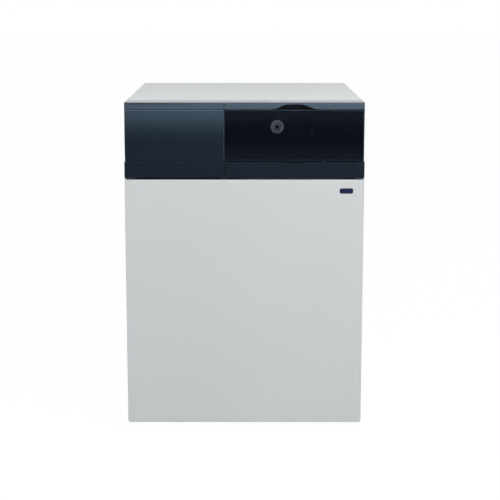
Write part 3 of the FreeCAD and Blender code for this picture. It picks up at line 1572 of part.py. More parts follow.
def make_head():
    """Burner flange, blast tube, diffuser and photocell."""
    plate = Piece("burner_flange")
    h, z = S.bflange_half, S.burner_z
    plate.pad("xz", burner_face, door_face, rounded(-h, z - h, h, z + h, h / 4))
    bolts = [
        Disc(x, z + v, S.bolt_rad + S.seat) for x in (-bolt_at, bolt_at) for v in (-bolt_at, bolt_at)
    ]
    plate.pocket("xz", burner_face, door_face, Disc(0, z, S.tube_rad + S.slip), *bolts)

    tube = Piece("blast_tube", (0, burner_face, S.burner_z), "+y")
    r, long = S.tube_rad, block_front + S.tube_in - burner_face
    tube.revolve(Loop([
        (r - S.tube_wall, 0),
        (r, 0),
        (r, long - r / 4),
        (r * 0.86, long),
        (r * 0.86 - S.tube_wall, long),
        (r - S.tube_wall, long - r / 4 - S.tube_wall / 2),
    ]))

    disc = Piece("diffuser", (0, line_end - S.nozzle_rad, S.burner_z), "+y")
    inner, outer = S.nozzle_rad * 2, S.diffuser_rad - S.nozzle_rad / 2
    disc.pad("xy", 0, S.tube_wall, Disc(0, 0, S.diffuser_rad), Disc(0, 0, S.nozzle_rad + S.slip))
    window = disc.pocket("xy", 0, S.tube_wall, sector(inner, outer, S.slot_half))
    disc.ring(window, S.slots)

    duct_top = S.burner_z + S.duct_half + S.scroll_wall
    cell = Piece("photocell", (0, cell_y, duct_top))
    r = S.cell_rad
    cell.revolve(Loop([
        (0, -S.scroll_wall - 1),
        (r, -S.scroll_wall - 1),
        (r, 0),
        (r * 1.4, 0),
        (r * 1.4, r * 1.5),
        (r, r * 2),
        (0, r * 2),
    ]))


def make_controls():
    """Bracket on top of the scroll with the control box and ignition transformer."""
    w = S.sheet
    seat_z = fan_z + S.scroll + S.scroll_grow / 2 + S.scroll_wall * 2
    half_x = S.box_wide / 2 + w
    start = fan_y - S.box_deep - w * 2
    end = start + S.box_deep + S.coil_deep + w * 6
    bracket = Piece("control_bracket")
    bracket.pad("xy", seat_z, seat_z + w, box(-half_x, start, half_x, end))
    bracket.pad("xy", seat_z, seat_z + w * 5, box(-half_x, start, -half_x + w / 2, end))
    bracket.pad("xy", seat_z, seat_z + w * 5, box(half_x - w / 2, start, half_x, end))

    foot = seat_z + w
    case_front = start + w
    inner = S.box_wide / 2 - w
    case = Piece("control_box")
    case.pad("xy", foot, foot + S.box_high * 0.3, rounded(
        -inner, case_front, inner, case_front + S.box_deep, 3,
    ))
    case.pad("xy", foot + S.box_high * 0.3, foot + S.box_high, rounded(
        -inner + w, case_front + w, inner - w, case_front + S.box_deep - w, 3,
    ))
    button_x, button_z = S.box_wide / 4, foot + S.box_high * 0.65
    case.pocket("xz", case_front, case_front + S.lockout_rad + w, Disc(
        button_x, button_z, S.lockout_rad + S.seat,
    ))

    button = Piece("lockout_button", (button_x, case_front + w, button_z), "-y")
    r = S.lockout_rad
    button.revolve(Loop([
        (0, -r + S.lockout_push + S.seat),
        (r, -r + S.lockout_push + S.seat),
        (r, S.lockout_push),
        (r - 1, S.lockout_push + 1),
        (0, S.lockout_push + 1),
    ]))

    coil_front = case_front + S.box_deep + w
    coil = Piece("ignition_transformer")
    top = foot + S.box_high * 1.15
    coil.pad("xy", foot, top, rounded(-inner + w, coil_front, inner - w, coil_front + S.coil_deep, 4))
    rib = coil.pocket("xy", foot + w * 2, top, box(
        -inner + w * 3, coil_front, -inner + w * 5, coil_front + w,
    ))
    coil.row(rib, "H_Axis", w * 5, 9)
    posts = Disc(-inner / 2, foot + S.box_high / 2, w * 4), Disc(inner / 2, foot + S.box_high / 2, w * 4)
    coil.pad("xz", coil_front + S.coil_deep, coil_front + S.coil_deep + w * 4, *posts)


# --- Build, check and write -------------------------------------------------------------


def check():
    """Stop if any object failed, any cut missed, or any sub-part is not sound."""
    for obj in doc.Objects:
        if {"Invalid", "Error"} & set(obj.State):
            raise RuntimeError(f"{obj.Name}: {obj.State}")
        if obj.TypeId in ("PartDesign::Pocket", "PartDesign::Groove"):
            if obj.BaseFeature.Shape.Volume - obj.Shape.Volume < 0.01:
                raise RuntimeError(f"{obj.Name} cuts nothing")
    for obj in NODES:
        if obj.Shape.isNull() or not obj.Shape.isValid() or not obj.Shape.Solids:
            raise RuntimeError(f"{obj.Label} is not a sound solid")


def main():
    """Build every sub-part, check them and write one STEP file for each."""
    make_base()
    make_feet()
    make_side("side_panel_left", -1)
    make_side("side_panel_right", 1)
    make_back()
    make_lid()
    make_door()
    make_rail()
    make_housing()
    make_bands()
    make_cover()
    make_strips()
    make_flap()
    make_instruments()
    make_terminals()
    make_block()
    make_combustion_door()
    make_connections()
    make_scroll()
    make_fan()
    make_pump()
    make_head()
    make_controls()
    doc.recompute()
    check()
    os.makedirs("parts", exist_ok=True)
    for obj in NODES:
        obj.Shape.exportStep(os.path.join("parts", f"{obj.Label}.step"))
        b = obj.Shape.BoundBox
        print(
            f"{obj.Label}: {len(obj.Shape.Solids)} solid(s), x {b.XMin:.1f}..{b.XMax:.1f}, "
            f"y {b.YMin:.1f}..{b.YMax:.1f}, z {b.ZMin:.1f}..{b.ZMax:.1f}"
        )


main()
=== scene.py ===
import logging
import math
from dataclasses import dataclass, field
from enum import Enum
from typing import Callable, Iterable

import bmesh
import bpy
from mathutils import Matrix, Vector


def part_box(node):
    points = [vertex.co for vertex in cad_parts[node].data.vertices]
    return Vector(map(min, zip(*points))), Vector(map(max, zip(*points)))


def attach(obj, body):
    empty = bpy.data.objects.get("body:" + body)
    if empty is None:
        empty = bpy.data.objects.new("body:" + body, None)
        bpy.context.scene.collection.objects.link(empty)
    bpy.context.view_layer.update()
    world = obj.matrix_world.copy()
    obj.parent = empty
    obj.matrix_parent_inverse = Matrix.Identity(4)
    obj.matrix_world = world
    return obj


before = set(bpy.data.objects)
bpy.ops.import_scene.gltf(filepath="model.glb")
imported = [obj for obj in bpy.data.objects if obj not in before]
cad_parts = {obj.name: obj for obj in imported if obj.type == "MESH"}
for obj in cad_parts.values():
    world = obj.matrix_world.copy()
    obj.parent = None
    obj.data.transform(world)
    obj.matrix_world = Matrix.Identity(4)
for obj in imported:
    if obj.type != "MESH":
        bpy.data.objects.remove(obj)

LOG = logging.getLogger("boiler")
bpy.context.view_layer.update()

Colour = tuple[float, float, float]
Point = tuple[float, float, float]


def ink(red: float, green: float, blue: float) -> Colour:
    """Turns a screen colour into the linear one that a shader takes.

    Args:
        red, green, blue: the screen colour, each from 0 to 255.

    Returns:
        The three linear values.
    """
    parts = (red / 255, green / 255, blue / 255)
    return tuple(
        p / 12.92 if p <= 0.04045 else ((p + 0.055) / 1.055) ** 2.4 for p in parts
    )


class Body(Enum):
    """The bodies that new pieces ride on."""

    CASING = "casing"
    DOOR = "front_door"
    FLAP = "smoked_flap"
    KNOB = "thermostat_knob"
    ROCKER = "rocker_key"


class Axis(Enum):
    """The direction that a round piece's axis runs in."""

    X = (0.0, math.pi / 2, 0.0)
    Y = (math.pi / 2, 0.0, 0.0)
    Z = (0.0, 0.0, 0.0)


# ---- Shader maths ----


class Val:
    """One output socket, with arithmetic that adds Math nodes."""

    def __init__(self, shade: "Shade", socket: bpy.types.NodeSocket) -> None:
        """Keeps the socket and the tree it belongs to."""
        self.shade, self.socket = shade, socket

    def math(self, operation: str, other: "Val | float") -> "Val":
        """Adds a Math node on this value and another, and returns its result."""
        return self.shade.node("ShaderNodeMath", {"operation": operation}, {0: self, 1: other})

    def __add__(self, other: "Val | float") -> "Val":
        """Returns this plus other."""
        return self.math("ADD", other)

    __radd__ = __add__

    def __mul__(self, other: "Val | float") -> "Val":
        """Returns this times other."""
        return self.math("MULTIPLY", other)

    __rmul__ = __mul__

    def between(self, low: float, high: float, start: float = 0.0, end: float = 1.0) -> "Val":
        """Stretches low to high onto start to end, clamped at both ends.

        Args:
            low, high: the part of this value's range that counts.
            start, end: what the result is at low and at high.

        Returns:
            The stretched value.
        """
        inputs = {"Value": self, 1: low, 2: high, 3: start, 4: end}
        return self.shade.node("ShaderNodeMapRange", {"clamp": True}, inputs)


class Shade:
    """A node tree, with one method that makes any node."""

    def __init__(self, owner: bpy.types.Material | bpy.types.World) -> None:
        """Empties the node tree of a material or of the surroundings."""
        owner.use_nodes = True
        self.tree = owner.node_tree
        self.tree.nodes.clear()

    def node(
        self,
        kind: str,
        settings: dict[str, object] | None = None,
        inputs: dict[int | str, object] | None = None,
        out: int | str = 0,
    ) -> Val:
        """Adds one node.

        Args:
            kind: the node's type.
            settings: what is set on the node first.
            inputs: a value or a Val for each input, by number or name.
            out: the output that is wanted, by number or name.

        Returns:
            That output, or None where the node has none.
        """
        made = self.tree.nodes.new(kind)
        for name, value in (settings or {}).items():
            setattr(made, name, value)
        for place, value in (inputs or {}).items():
            socket = made.inputs[place]
            if isinstance(value, Val):
                self.tree.links.new(value.socket, socket)
            else:
                socket.default_value = value
        return Val(self, made.outputs[out]) if made.outputs else None

    def spot(self, kind: str = "Object") -> Val:
        """Returns the point on the object, in metres, or another coordinate of it."""
        return self.node("ShaderNodeTexCoord", out=kind)

    def along(self, axis: str, kind: str = "Object") -> Val:
        """Returns one part of the point, "X", "Y" or "Z"."""
        return self.node("ShaderNodeSeparateXYZ", inputs={0: self.spot(kind)}, out=axis)

    def noise(
        self, scale: float, detail: float = 3.0, rough: float = 0.5, stretch: Point = (1, 1, 1),
    ) -> Val:
        """Adds a noise pattern.

        Args:
            scale: how many patches there are to a metre.
            detail: how many finer layers there are.
            rough: how strong the finer layers are.
            stretch: how much finer the pattern is along x, y and z.

        Returns:
            The pattern, near 0.5 on average.
        """
        place = self.spot()
        if stretch != (1, 1, 1):
            place = self.node("ShaderNodeMapping", inputs={"Vector": place, "Scale": stretch})
        inputs = {"Vector": place, "Scale": scale, "Detail": detail, "Roughness": rough}
        return self.node("ShaderNodeTexNoise", inputs=inputs, out="Fac")

    def cells(self, scale: float, out: str = "Distance", feature: str = "F1") -> Val:
        """Adds a pattern of cells, of so many to a metre."""
        inputs = {"Vector": self.spot(), "Scale": scale}
        return self.node("ShaderNodeTexVoronoi", {"feature": feature}, inputs, out)

    def blend(self, factor: Val, first: Colour | Val, second: Colour | Val) -> Val:
        """Mixes two colours by a factor from 0 to 1."""
        made = {
            place: (*side, 1.0) if isinstance(side, tuple) else side
            for place, side in ((6, first), (7, second))
        }
        return self.node("ShaderNodeMix", {"data_type": "RGBA"}, {0: factor, **made}, 2)

    def bump(self, height: Val, depth: float, strength: float, under: Val | None = None) -> Val:
        """Turns a height pattern into a normal.

        Args:
            height: the pattern.
            depth: how deep it is, in metres.
            strength: how much it counts.
            under: another bump that it adds to.

        Returns:
            The normal.
        """
        inputs = {"Height": height, "Distance": depth, "Strength": strength}
        if under is not None:
            inputs["Normal"] = under
        return self.node("ShaderNodeBump", inputs=inputs)

    def shader(self, **wanted: Val | float | Colour) -> Val:
        """Adds the surface shader, its sockets named with _ for each space."""
        inputs = {
            name.replace("_", " "): (*value, 1.0) if isinstance(value, tuple) else value
            for name, value in wanted.items()
        }
        return self.node("ShaderNodeBsdfPrincipled", inputs=inputs)

    def feed(self, tone: Val, rough: Val, **more: Val | float | Colour) -> None:
        """Makes the surface shader the material's surface.

        Args:
            tone, rough: the shader's colour and roughness.
            more: what its other sockets get.
        """
        surface = self.shader(Base_Color=tone, Roughness=rough, **more)
        self.node("ShaderNodeOutputMaterial", inputs={"Surface": surface})


# ---- Finishes ----

NIGHT = ink(13, 17, 26)
BLUE_SHEEN = (0.3, 0.66, 1.0)


@dataclass(frozen=True)
class Finish:
    """What every finish has: a name, a main colour and a roughness."""

    name: str
    colour: Colour
    rough: float = 0.5

    def material(self) -> bpy.types.Material:
        """Returns the finish's material, which is made the first time."""
        name = f"finish_{self.name}"
        made = bpy.data.materials.get(name)
        if made is None:
            made = bpy.data.materials.new(name)
            made.diffuse_color = (*self.colour, 1.0)
            self.dress(Shade(made))
        return made

    def dress(self, shade: Shade) -> None:
        """Builds the finish's nodes."""
        raise NotImplementedError

    def shifted(self, amount: float) -> Colour:
        """Returns the main colour made lighter or darker by a share."""
        return tuple(min(1.0, part * (1 + amount)) for part in self.colour)


@dataclass(frozen=True)
class PowderCoat(Finish):
    """Stoved powder paint on sheet steel: orange peel and a slow change of shade."""

    peel: float = 420.0
    depth: float = 0.00003
    gloss: float = 0.3

    def dress(self, shade: Shade) -> None:
        """Builds the paint."""
        slow = shade.noise(2.2, 2.0).between(0.3, 0.7)
        fine = shade.noise(1600.0, 2.0).between(0.35, 0.65)
        tone = shade.blend(slow, self.shifted(-0.018), self.shifted(0.018))
        tone = shade.blend(fine * 0.12, tone, self.shifted(-0.10))
        peel = shade.noise(self.peel, 2.0, 0.4)
        patch = shade.noise(26.0, 3.0).between(0.3, 0.7, self.rough - 0.05, self.rough + 0.06)
        skin = shade.bump(peel, self.depth, 0.55)
        shade.feed(tone, patch, Normal=skin, Specular_IOR_Level=self.gloss)


@dataclass(frozen=True)
class Moulding(Finish):
    """Injection-moulded plastic with a spark-eroded grain, painted paler below a height where
    asked, as painted light.
    """

    grain: float = 1500.0
    depth: float = 0.000016
    gloss: float = 0.3
    coat: float = 0.0
    shine: Colour = (1.0, 1.0, 1.0)
    painted_light_below: float = 0.0

    def dress(self, shade: Shade) -> None:
        """Builds the plastic."""
        slow = shade.noise(9.0, 3.0).between(0.3, 0.7)
        flow = shade.noise(40.0, 2.0, 0.5, (0.3, 1, 1)).between(0.35, 0.65)
        tone = shade.blend(slow, self.shifted(-0.05), self.shifted(0.06))
        tone = shade.blend(flow * 0.3, tone, self.shifted(0.12))
        # painted light: below this height the plastic is painted paler, standing in for light on
        # the vent ribs at the strip's foot
        if self.painted_light_below:
            above = shade.along("Z").between(self.painted_light_below, self.painted_light_below + 0.0004)
            tone = shade.blend(above, ink(54, 62, 71), tone)
        grain = shade.noise(self.grain, 2.0, 0.6)
        dull = shade.noise(24.0, 2.0).between(0.3, 0.7, self.rough - 0.012, self.rough + 0.018)
        shade.feed(
            tone, dull, Normal=shade.bump(grain, self.depth, 0.5), Specular_Tint=self.shine,
            Specular_IOR_Level=self.gloss, Coat_Weight=self.coat, Coat_Roughness=self.rough,
        )


@dataclass(frozen=True)
class SmokedSheet(Finish):
    """Smoked transparent sheet with faint wipe marks, painted lighter toward its foot as painted
    light.
    """

    clear: float = 0.60
    gloss: float = 0.06
    shine: Colour = (0.5, 0.68, 1.0)
    painted_light_heights: tuple[float, float] = (0.714, 0.744)

    def dress(self, shade: Shade) -> None:
        """Builds the sheet."""
        wipes = shade.noise(35.0, 3.0, 0.5, (0.35, 1, 1)).between(0.4, 0.7)
        tone = shade.blend(wipes, self.shifted(-0.1), self.shifted(0.25))
        # painted light: the sheet is painted lighter toward its foot
        foot_light = shade.along("Z").between(*self.painted_light_heights, 1.0, 0.0)
        tone = shade.blend(foot_light, tone, ink(29, 36, 46))
        shade.feed(
            tone, wipes * 0.06 + self.rough, Alpha=1.0 - self.clear,
            Specular_IOR_Level=self.gloss, Specular_Tint=self.shine,
        )


@dataclass(frozen=True)
class Galvanised(Finish):
    """Hot-dip galvanised sheet, with its spangle."""

    spangle: float = 110.0

    def dress(self, shade: Shade) -> None:
        """Builds the spangle."""
        grain = shade.cells(self.spangle, "Color")
        grain = shade.node("ShaderNodeSeparateColor", inputs={0: grain}, out=0)
        dull = shade.noise(18.0, 4.0).between(0.35, 0.7)
        tone = shade.blend(grain, self.shifted(-0.22), self.shifted(0.12))
        tone = shade.blend(dull * 0.35, tone, self.shifted(-0.3))
        edge = shade.cells(self.spangle, "Distance", "DISTANCE_TO_EDGE")
        skin = shade.bump(edge, 0.0003, 0.18)
        shade.feed(tone, grain * 0.2 + self.rough, Metallic=0.95, Normal=skin)


@dataclass(frozen=True)
class Plated(Finish):
    """Turned or pressed steel with thin bright plating."""

    warm: Colour = (0.55, 0.47, 0.28)

    def dress(self, shade: Shade) -> None:
        """Builds the plating."""
        bloom = shade.noise(130.0, 3.0).between(0.45, 0.75)
        lines = shade.noise(900.0, 2.0, 0.6, (0.1, 1, 1))
        tone = shade.blend(bloom * 0.35, self.colour, self.warm)
        skin = shade.bump(lines, 0.00004, 0.4)
        shade.feed(tone, lines * 0.18 + self.rough, Metallic=1.0, Normal=skin)


@dataclass(frozen=True)
class Casting(Finish):
    """Sand or die casting: a coarse skin, fine pits and stained patches."""

    sand: float = 650.0
    depth: float = 0.0003
    metallic: float = 0.0
    stain: Colour = (0.10, 0.045, 0.02)
    stained: float = 0.35

    def dress(self, shade: Shade) -> None:
        """Builds the cast skin."""
        sand = shade.noise(self.sand, 4.0, 0.65)
        slow = shade.noise(14.0, 4.0, 0.6)
        tone = shade.blend(sand.between(0.3, 0.7), self.shifted(-0.22), self.shifted(0.2))
        tone = shade.blend(slow.between(0.55, 0.75) * self.stained, tone, self.stain)
        patch = slow.between(0.3, 0.7, self.rough - 0.08, self.rough + 0.08)
        skin = shade.bump(sand, self.depth, 0.7, shade.bump(slow, self.depth * 3, 0.25))
        shade.feed(tone, patch, Metallic=self.metallic, Normal=skin)


@dataclass(frozen=True)
class Foil(Finish):
    """Foil-faced mineral wool: crinkles over a soft backing, with painted shade along the creases.
    """

    crinkle: float = 60.0

    def dress(self, shade: Shade) -> None:
        """Builds the crinkled foil."""
        creases = shade.cells(self.crinkle, "Distance", "DISTANCE_TO_EDGE").between(0.0, 0.25)
        small = shade.cells(self.crinkle * 3.1, "Distance", "DISTANCE_TO_EDGE").between(0.0, 0.2)
        puff = shade.noise(12.0, 2.0)
        # painted shade: the foil is painted darker along its creases
        tone = shade.blend(creases, self.shifted(-0.25), self.colour)
        under = shade.bump(creases, 0.0012, 0.7, shade.bump(puff, 0.006, 0.5))
        skin = shade.bump(small, 0.0004, 0.5, under)
        shade.feed(tone, small * 0.12 + self.rough, Metallic=0.9, Normal=skin)


@dataclass(frozen=True)
class Fibre(Finish):
    """Pressed ceramic fibre or rope, matt and slightly scorched."""

    scorch: Colour = (0.35, 0.27, 0.18)

    def dress(self, shade: Shade) -> None:
        """Builds the fibres."""
        strands = shade.noise(520.0, 4.0, 0.7, (0.25, 1, 1))
        cross = shade.noise(480.0, 4.0, 0.7, (1, 1, 0.25))
        burnt = shade.noise(16.0, 3.0).between(0.5, 0.8)
        tone = shade.blend(strands, self.shifted(-0.15), self.colour)
        tone = shade.blend(burnt * 0.5, tone, self.scorch)
        skin = shade.bump(strands + cross, 0.0006, 0.8)
        shade.feed(tone, cross * 0.1 + self.rough, Normal=skin, Specular_IOR_Level=0.1)


@dataclass(frozen=True)
class Brushed(Finish):
    """Drawn, rolled or brushed metal, its lines along one direction."""

    lines: Point = (1.0, 0.04, 1.0)
    tint: Colour = (0.30, 0.22, 0.14)
    tinted: float = 0.15
    scale: float = 1500.0

    def dress(self, shade: Shade) -> None:
        """Builds the lines and a bloom of heat or age."""
        grain = shade.noise(self.scale, 3.0, 0.6, self.lines)
        bloom = shade.noise(22.0, 3.0).between(0.45, 0.75)
        tone = shade.blend(grain, self.shifted(-0.14), self.shifted(0.1))
        tone = shade.blend(bloom * self.tinted, tone, self.tint)
        worn = grain * 0.16 + bloom * 0.08 + self.rough
        shade.feed(tone, worn, Metallic=1.0, Normal=shade.bump(grain, 0.00003, 0.5))


@dataclass(frozen=True)
class Glazed(Finish):
    """Glazed porcelain or gloss paint, with faint specks."""

    speck: Colour = (0.25, 0.20, 0.15)

    def dress(self, shade: Shade) -> None:
        """Builds the glaze."""
        specks = shade.noise(1400.0, 2.0).between(0.66, 0.72)
        slow = shade.noise(45.0, 2.0)
        tone = shade.blend(slow, self.shifted(-0.05), self.shifted(0.04))
        tone = shade.blend(specks * 0.6, tone, self.speck)
        skin = shade.bump(slow, 0.0004, 0.2)
        shade.feed(tone, slow * 0.1 + self.rough, Coat_Weight=0.4, Normal=skin)


class Look:
    """The boiler's own finishes."""

    CASING = PowderCoat("casing_paint", ink(221, 225, 226), 0.44)
    PANEL = Moulding("dark_moulding", NIGHT, 0.26, gloss=0.42, coat=0.25, shine=BLUE_SHEEN)
    BAND = Moulding("band_moulding", NIGHT, 0.26, gloss=0.6, coat=0.55, shine=BLUE_SHEEN)
    # slightly paler than the panel as a painted highlight on the cover's top edge; its gloss and
    # coat are real
    RIM = Moulding(
        "rim_moulding", ink(16, 20, 30), 0.26, gloss=0.95, coat=0.85, shine=BLUE_SHEEN,
    )
    # painted highlight: paler than the panel, so the cover's right edge shows a light line
    EDGE = Moulding(
        "edge_painted_highlight", ink(40, 47, 58), 0.33, grain=1900, gloss=0.95, coat=0.85,
        shine=BLUE_SHEEN,
    )
    # STRIP is painted paler below 0.6624 m, painted light on the vent ribs at its foot
    STRIP = Moulding(
        "strip_moulding", NIGHT, 0.26, gloss=0.36, coat=0.2, shine=BLUE_SHEEN, painted_light_below=0.6624,
    )
    SWITCH = Moulding("switch_plastic", ink(15, 17, 22), 0.5, gloss=0.12)
    MARK = Moulding("switch_print", ink(120, 122, 126), 0.5)
    BLACK = Moulding("black_plastic", ink(24, 25, 28), 0.42)
    PLATE = Moulding("instrument_plate", ink(11, 17, 27), 0.5, gloss=0.15)
    DARK = PowderCoat("black_paint", ink(30, 32, 36), 0.5)
    DIAL = Moulding("dial_plastic", ink(194, 204, 228), 0.4)
    MOTOR = Casting("motor_paint", ink(66, 74, 84), 0.5, sand=900.0, depth=0.0001, stained=0.1)
    PRINT = Moulding("dial_print", ink(22, 24, 28), 0.5)
    FLAP = SmokedSheet("smoked_sheet", NIGHT, 0.10)
    BADGE = Moulding("badge_plastic", ink(21, 32, 72), 0.35, gloss=0.2)
    ZINC = Galvanised("galvanised", ink(176, 179, 182), 0.36)
    BOLTS = Plated("zinc_steel", ink(186, 187, 184), 0.28)
    IRON = Casting("iron", ink(72, 74, 77), 0.68)
    FOIL = Foil("foil_wool", ink(205, 206, 204), 0.3)
    FIBRE = Fibre("fibre", ink(226, 222, 210), 0.85)
    ALLOY = Casting(
        "die_casting", ink(172, 174, 176), 0.46, sand=900.0, depth=0.00012,
        metallic=0.85, stain=(0.22, 0.21, 0.19), stained=0.4,
    )
    STAINLESS = Brushed("stainless", ink(190, 189, 184), 0.24)
    COPPER = Brushed("copper", ink(196, 126, 92), 0.22, tint=(0.12, 0.045, 0.025), tinted=0.5)
    BRASS = Brushed("brass", ink(190, 158, 92), 0.24, tint=(0.20, 0.12, 0.04), tinted=0.35)
    PORCELAIN = Glazed("porcelain", ink(232, 230, 222), 0.16)
    GLASS = Glazed("sight_glass_disc", ink(60, 74, 78), 0.06)
    RED = Glazed("lever_red", ink(176, 32, 28), 0.24, speck=(0.3, 0.02, 0.02))
    LOCKOUT = Glazed("red_button", ink(196, 40, 32), 0.2, speck=(0.3, 0.02, 0.02))
    COIL = Moulding("coil_black", ink(34, 34, 37), 0.6)
    CREAM = Moulding("terminal_plastic", ink(205, 200, 184), 0.5)
    # black foam on the door's top fold, its colour a painted shade for the gap above the door
    SHADE_FOAM = Moulding("black_shade_foam", ink(30, 30, 31), 0.8, gloss=0.1)


# ---- Bench: pieces shaped one by one ----

Test = Callable[[Vector, Vector], bool]


def added(operator: Callable[..., object], **settings: object) -> bpy.types.Object:
    """Adds one object with nothing else selected, and returns it."""
    bpy.ops.object.select_all(action="DESELECT")
    operator(**settings)
    return bpy.context.object


class Piece:
    """A mesh object, started from a primitive and shaped in edit mode."""

    def __init__(self, thing: bpy.types.Object, name: str) -> None:
        """Takes over a fresh object, with its place put into its mesh."""
        self.thing = thing
        thing.name = name
        thing.data.name = name
        self._settle()

    def _settle(self) -> None:
        """Selects only this object and puts its place, turn and size into its mesh."""
        bpy.ops.object.select_all(action="DESELECT")
        self.thing.select_set(True)
        bpy.context.view_layer.objects.active = self.thing
        bpy.ops.object.transform_apply(location=True, rotation=True, scale=True)

    @classmethod
    def drum(
        cls, name: str, centre: Point, radius: float, length: float,
        axis: Axis = Axis.Z, sides: int = 32, top: float | None = None,
    ) -> "Piece":
        """Starts from a cylinder or a cone.

        Args:
            name: the piece's name.
            centre: its middle, in metres.
            radius, length: its size, in metres.
            axis: the direction of its axis.
            sides: how many sides it has.
            top: the radius at the far end, if that differs.

        Returns:
            The new piece.
        """
        cone = added(
            bpy.ops.mesh.primitive_cone_add, vertices=sides, depth=length, radius1=radius,
            radius2=radius if top is None else top, location=centre, rotation=axis.value,
        )
        return cls(cone, name)

    @classmethod
    def slab(cls, name: str, low: Point, high: Point) -> "Piece":
        """Starts from a cube between two corners."""
        middle = (Vector(low) + Vector(high)) / 2
        cube = added(bpy.ops.mesh.primitive_cube_add, size=1, location=middle)
        cube.scale = Vector(high) - Vector(low)
        return cls(cube, name)

    @classmethod
    def hoop(cls, name: str, centre: Point, radius: float, wire: float, axis: Axis) -> "Piece":
        """Starts from a torus, of a ring radius and a wire radius."""
        torus = added(
            bpy.ops.mesh.primitive_torus_add, location=centre, rotation=axis.value,
            major_radius=radius, minor_radius=wire, major_segments=48, minor_segments=10,
        )
        return cls(torus, name)

    @classmethod
    def word(cls, name: str, text: str, centre: Point, size: float, thick: float) -> "Piece":
        """Starts from a figure that faces the front.

        Args:
            name: the piece's name.
            text: the figure.
            centre: its middle, in metres.
            size, thick: its height and thickness, in metres.

        Returns:
            The new piece.
        """
        word = added(bpy.ops.object.text_add, location=centre, rotation=Axis.Y.value)
        data = word.data
        data.body, data.size, data.extrude, data.offset = text, size, thick / 2, size * 0.04
        data.align_x, data.align_y, data.resolution_u = "CENTER", "CENTER", 2
        bpy.ops.object.convert(target="MESH")
        return cls(bpy.context.object, name)

    def _pick(self, faces: Test | None, edges: Test | None = None) -> None:
        """Enters edit mode with only the wanted faces or edges selected."""
        self._settle()
        bpy.ops.object.mode_set(mode="EDIT")
        bpy.ops.mesh.select_mode(type="FACE" if faces else "EDGE")
        bpy.ops.mesh.select_all(action="DESELECT")
        shape = bmesh.from_edit_mesh(self.thing.data)
        shape.normal_update()
        if faces:
            for face in shape.faces:
                face.select_set(faces(face.calc_center_median(), face.normal))
        else:
            for edge in shape.edges:
                one, two = (vert.co for vert in edge.verts)
                edge.select_set(edges((one + two) / 2, (two - one).normalized()))
        bmesh.update_edit_mesh(self.thing.data)

    def _leave(self) -> "Piece":
        """Leaves edit mode, and returns the piece."""
        bpy.ops.object.mode_set(mode="OBJECT")
        return self

    def inset(self, faces: Test, wide: float) -> "Piece":
        """Insets the faces that pass a test of middle and normal, and returns the piece."""
        self._pick(faces)
        bpy.ops.mesh.inset(thickness=wide)
        return self._leave()

    def extrude(self, faces: Test, move: Point, size: float = 1.0) -> "Piece":
        """Draws out the faces that pass a test, and returns the piece.

        Args:
            faces: the test of middle and normal.
            move: how far they move, in metres.
            size: how much they grow or shrink after it.

        Returns:
            This piece.
        """
        self._pick(faces)
        bpy.ops.mesh.extrude_region_move(TRANSFORM_OT_translate={"value": move})
        if size != 1.0:
            bpy.ops.transform.resize(value=(size, size, size))
        return self._leave()

    def bevel(self, edges: Test, wide: float, steps: int = 2) -> "Piece":
        """Rounds the edges that pass a test of middle and direction, and returns the piece."""
        self._pick(None, edges)
        bpy.ops.mesh.bevel(offset=wide, segments=steps, affect="EDGES")
        return self._leave()

    def _modify(self, kind: str, **settings: object) -> "Piece":
        """Applies one modifier with its settings, and returns the piece."""
        self._settle()
        tool = self.thing.modifiers.new("tool", kind)
        for name, value in settings.items():
            setattr(tool, name, value)
        bpy.ops.object.modifier_apply(modifier=tool.name)
        return self

    def soften(self, wide: float, steps: int = 2) -> "Piece":
        """Rounds every sharp edge, and returns the piece."""
        limit = {"limit_method": "ANGLE", "angle_limit": math.radians(35.0)}
        return self._modify("BEVEL", width=wide, segments=steps, **limit)

    def cut(self, other: "Piece") -> "Piece":
        """Takes another piece's space out of this one, and returns this one."""
        self._modify("BOOLEAN", operation="DIFFERENCE", object=other.thing, solver="EXACT")
        bpy.data.objects.remove(other.thing)
        return self

    def join(self, *others: "Piece") -> "Piece":
        """Makes one object of this piece and others, and returns it."""
        self._settle()
        for other in others:
            other.thing.select_set(True)
        if others:
            bpy.ops.object.join()
        return self

    def turned(self, angle: float, axis: str, centre: Point) -> "Piece":
        """Turns the piece about a point, and returns it."""
        turn = Matrix.Rotation(angle, 4, axis)
        middle = Matrix.Translation(centre)
        self.thing.data.transform(middle @ turn @ middle.inverted())
        return self

    def spread(
        self, places: Iterable[Point], facing: Point = (0, 0, 1), twist: float = 0.0,
    ) -> "Piece":
        """Copies a piece made at the origin, standing up, to each place.

        Args:
            places: where the copies go, in metres.
            facing: which way they point.
            twist: how much further each is turned than the last.

        Returns:
            One piece of all the copies.
        """
        turn = Vector(facing).to_track_quat("Z", "Y").to_matrix().to_4x4()
        made = []
        for count, place in enumerate(places):
            copy = self.thing.copy()
            copy.data = self.thing.data.copy()
            bpy.context.scene.collection.objects.link(copy)
            spin = Matrix.Rotation(twist * count, 4, "Z")
            copy.data.transform(Matrix.Translation(place) @ turn @ spin)
            made.append(Piece(copy, "copy"))
        name = self.thing.name
        bpy.data.objects.remove(self.thing)
        self.thing = made[0].thing
        self.thing.name = name
        return self.join(*made[1:])

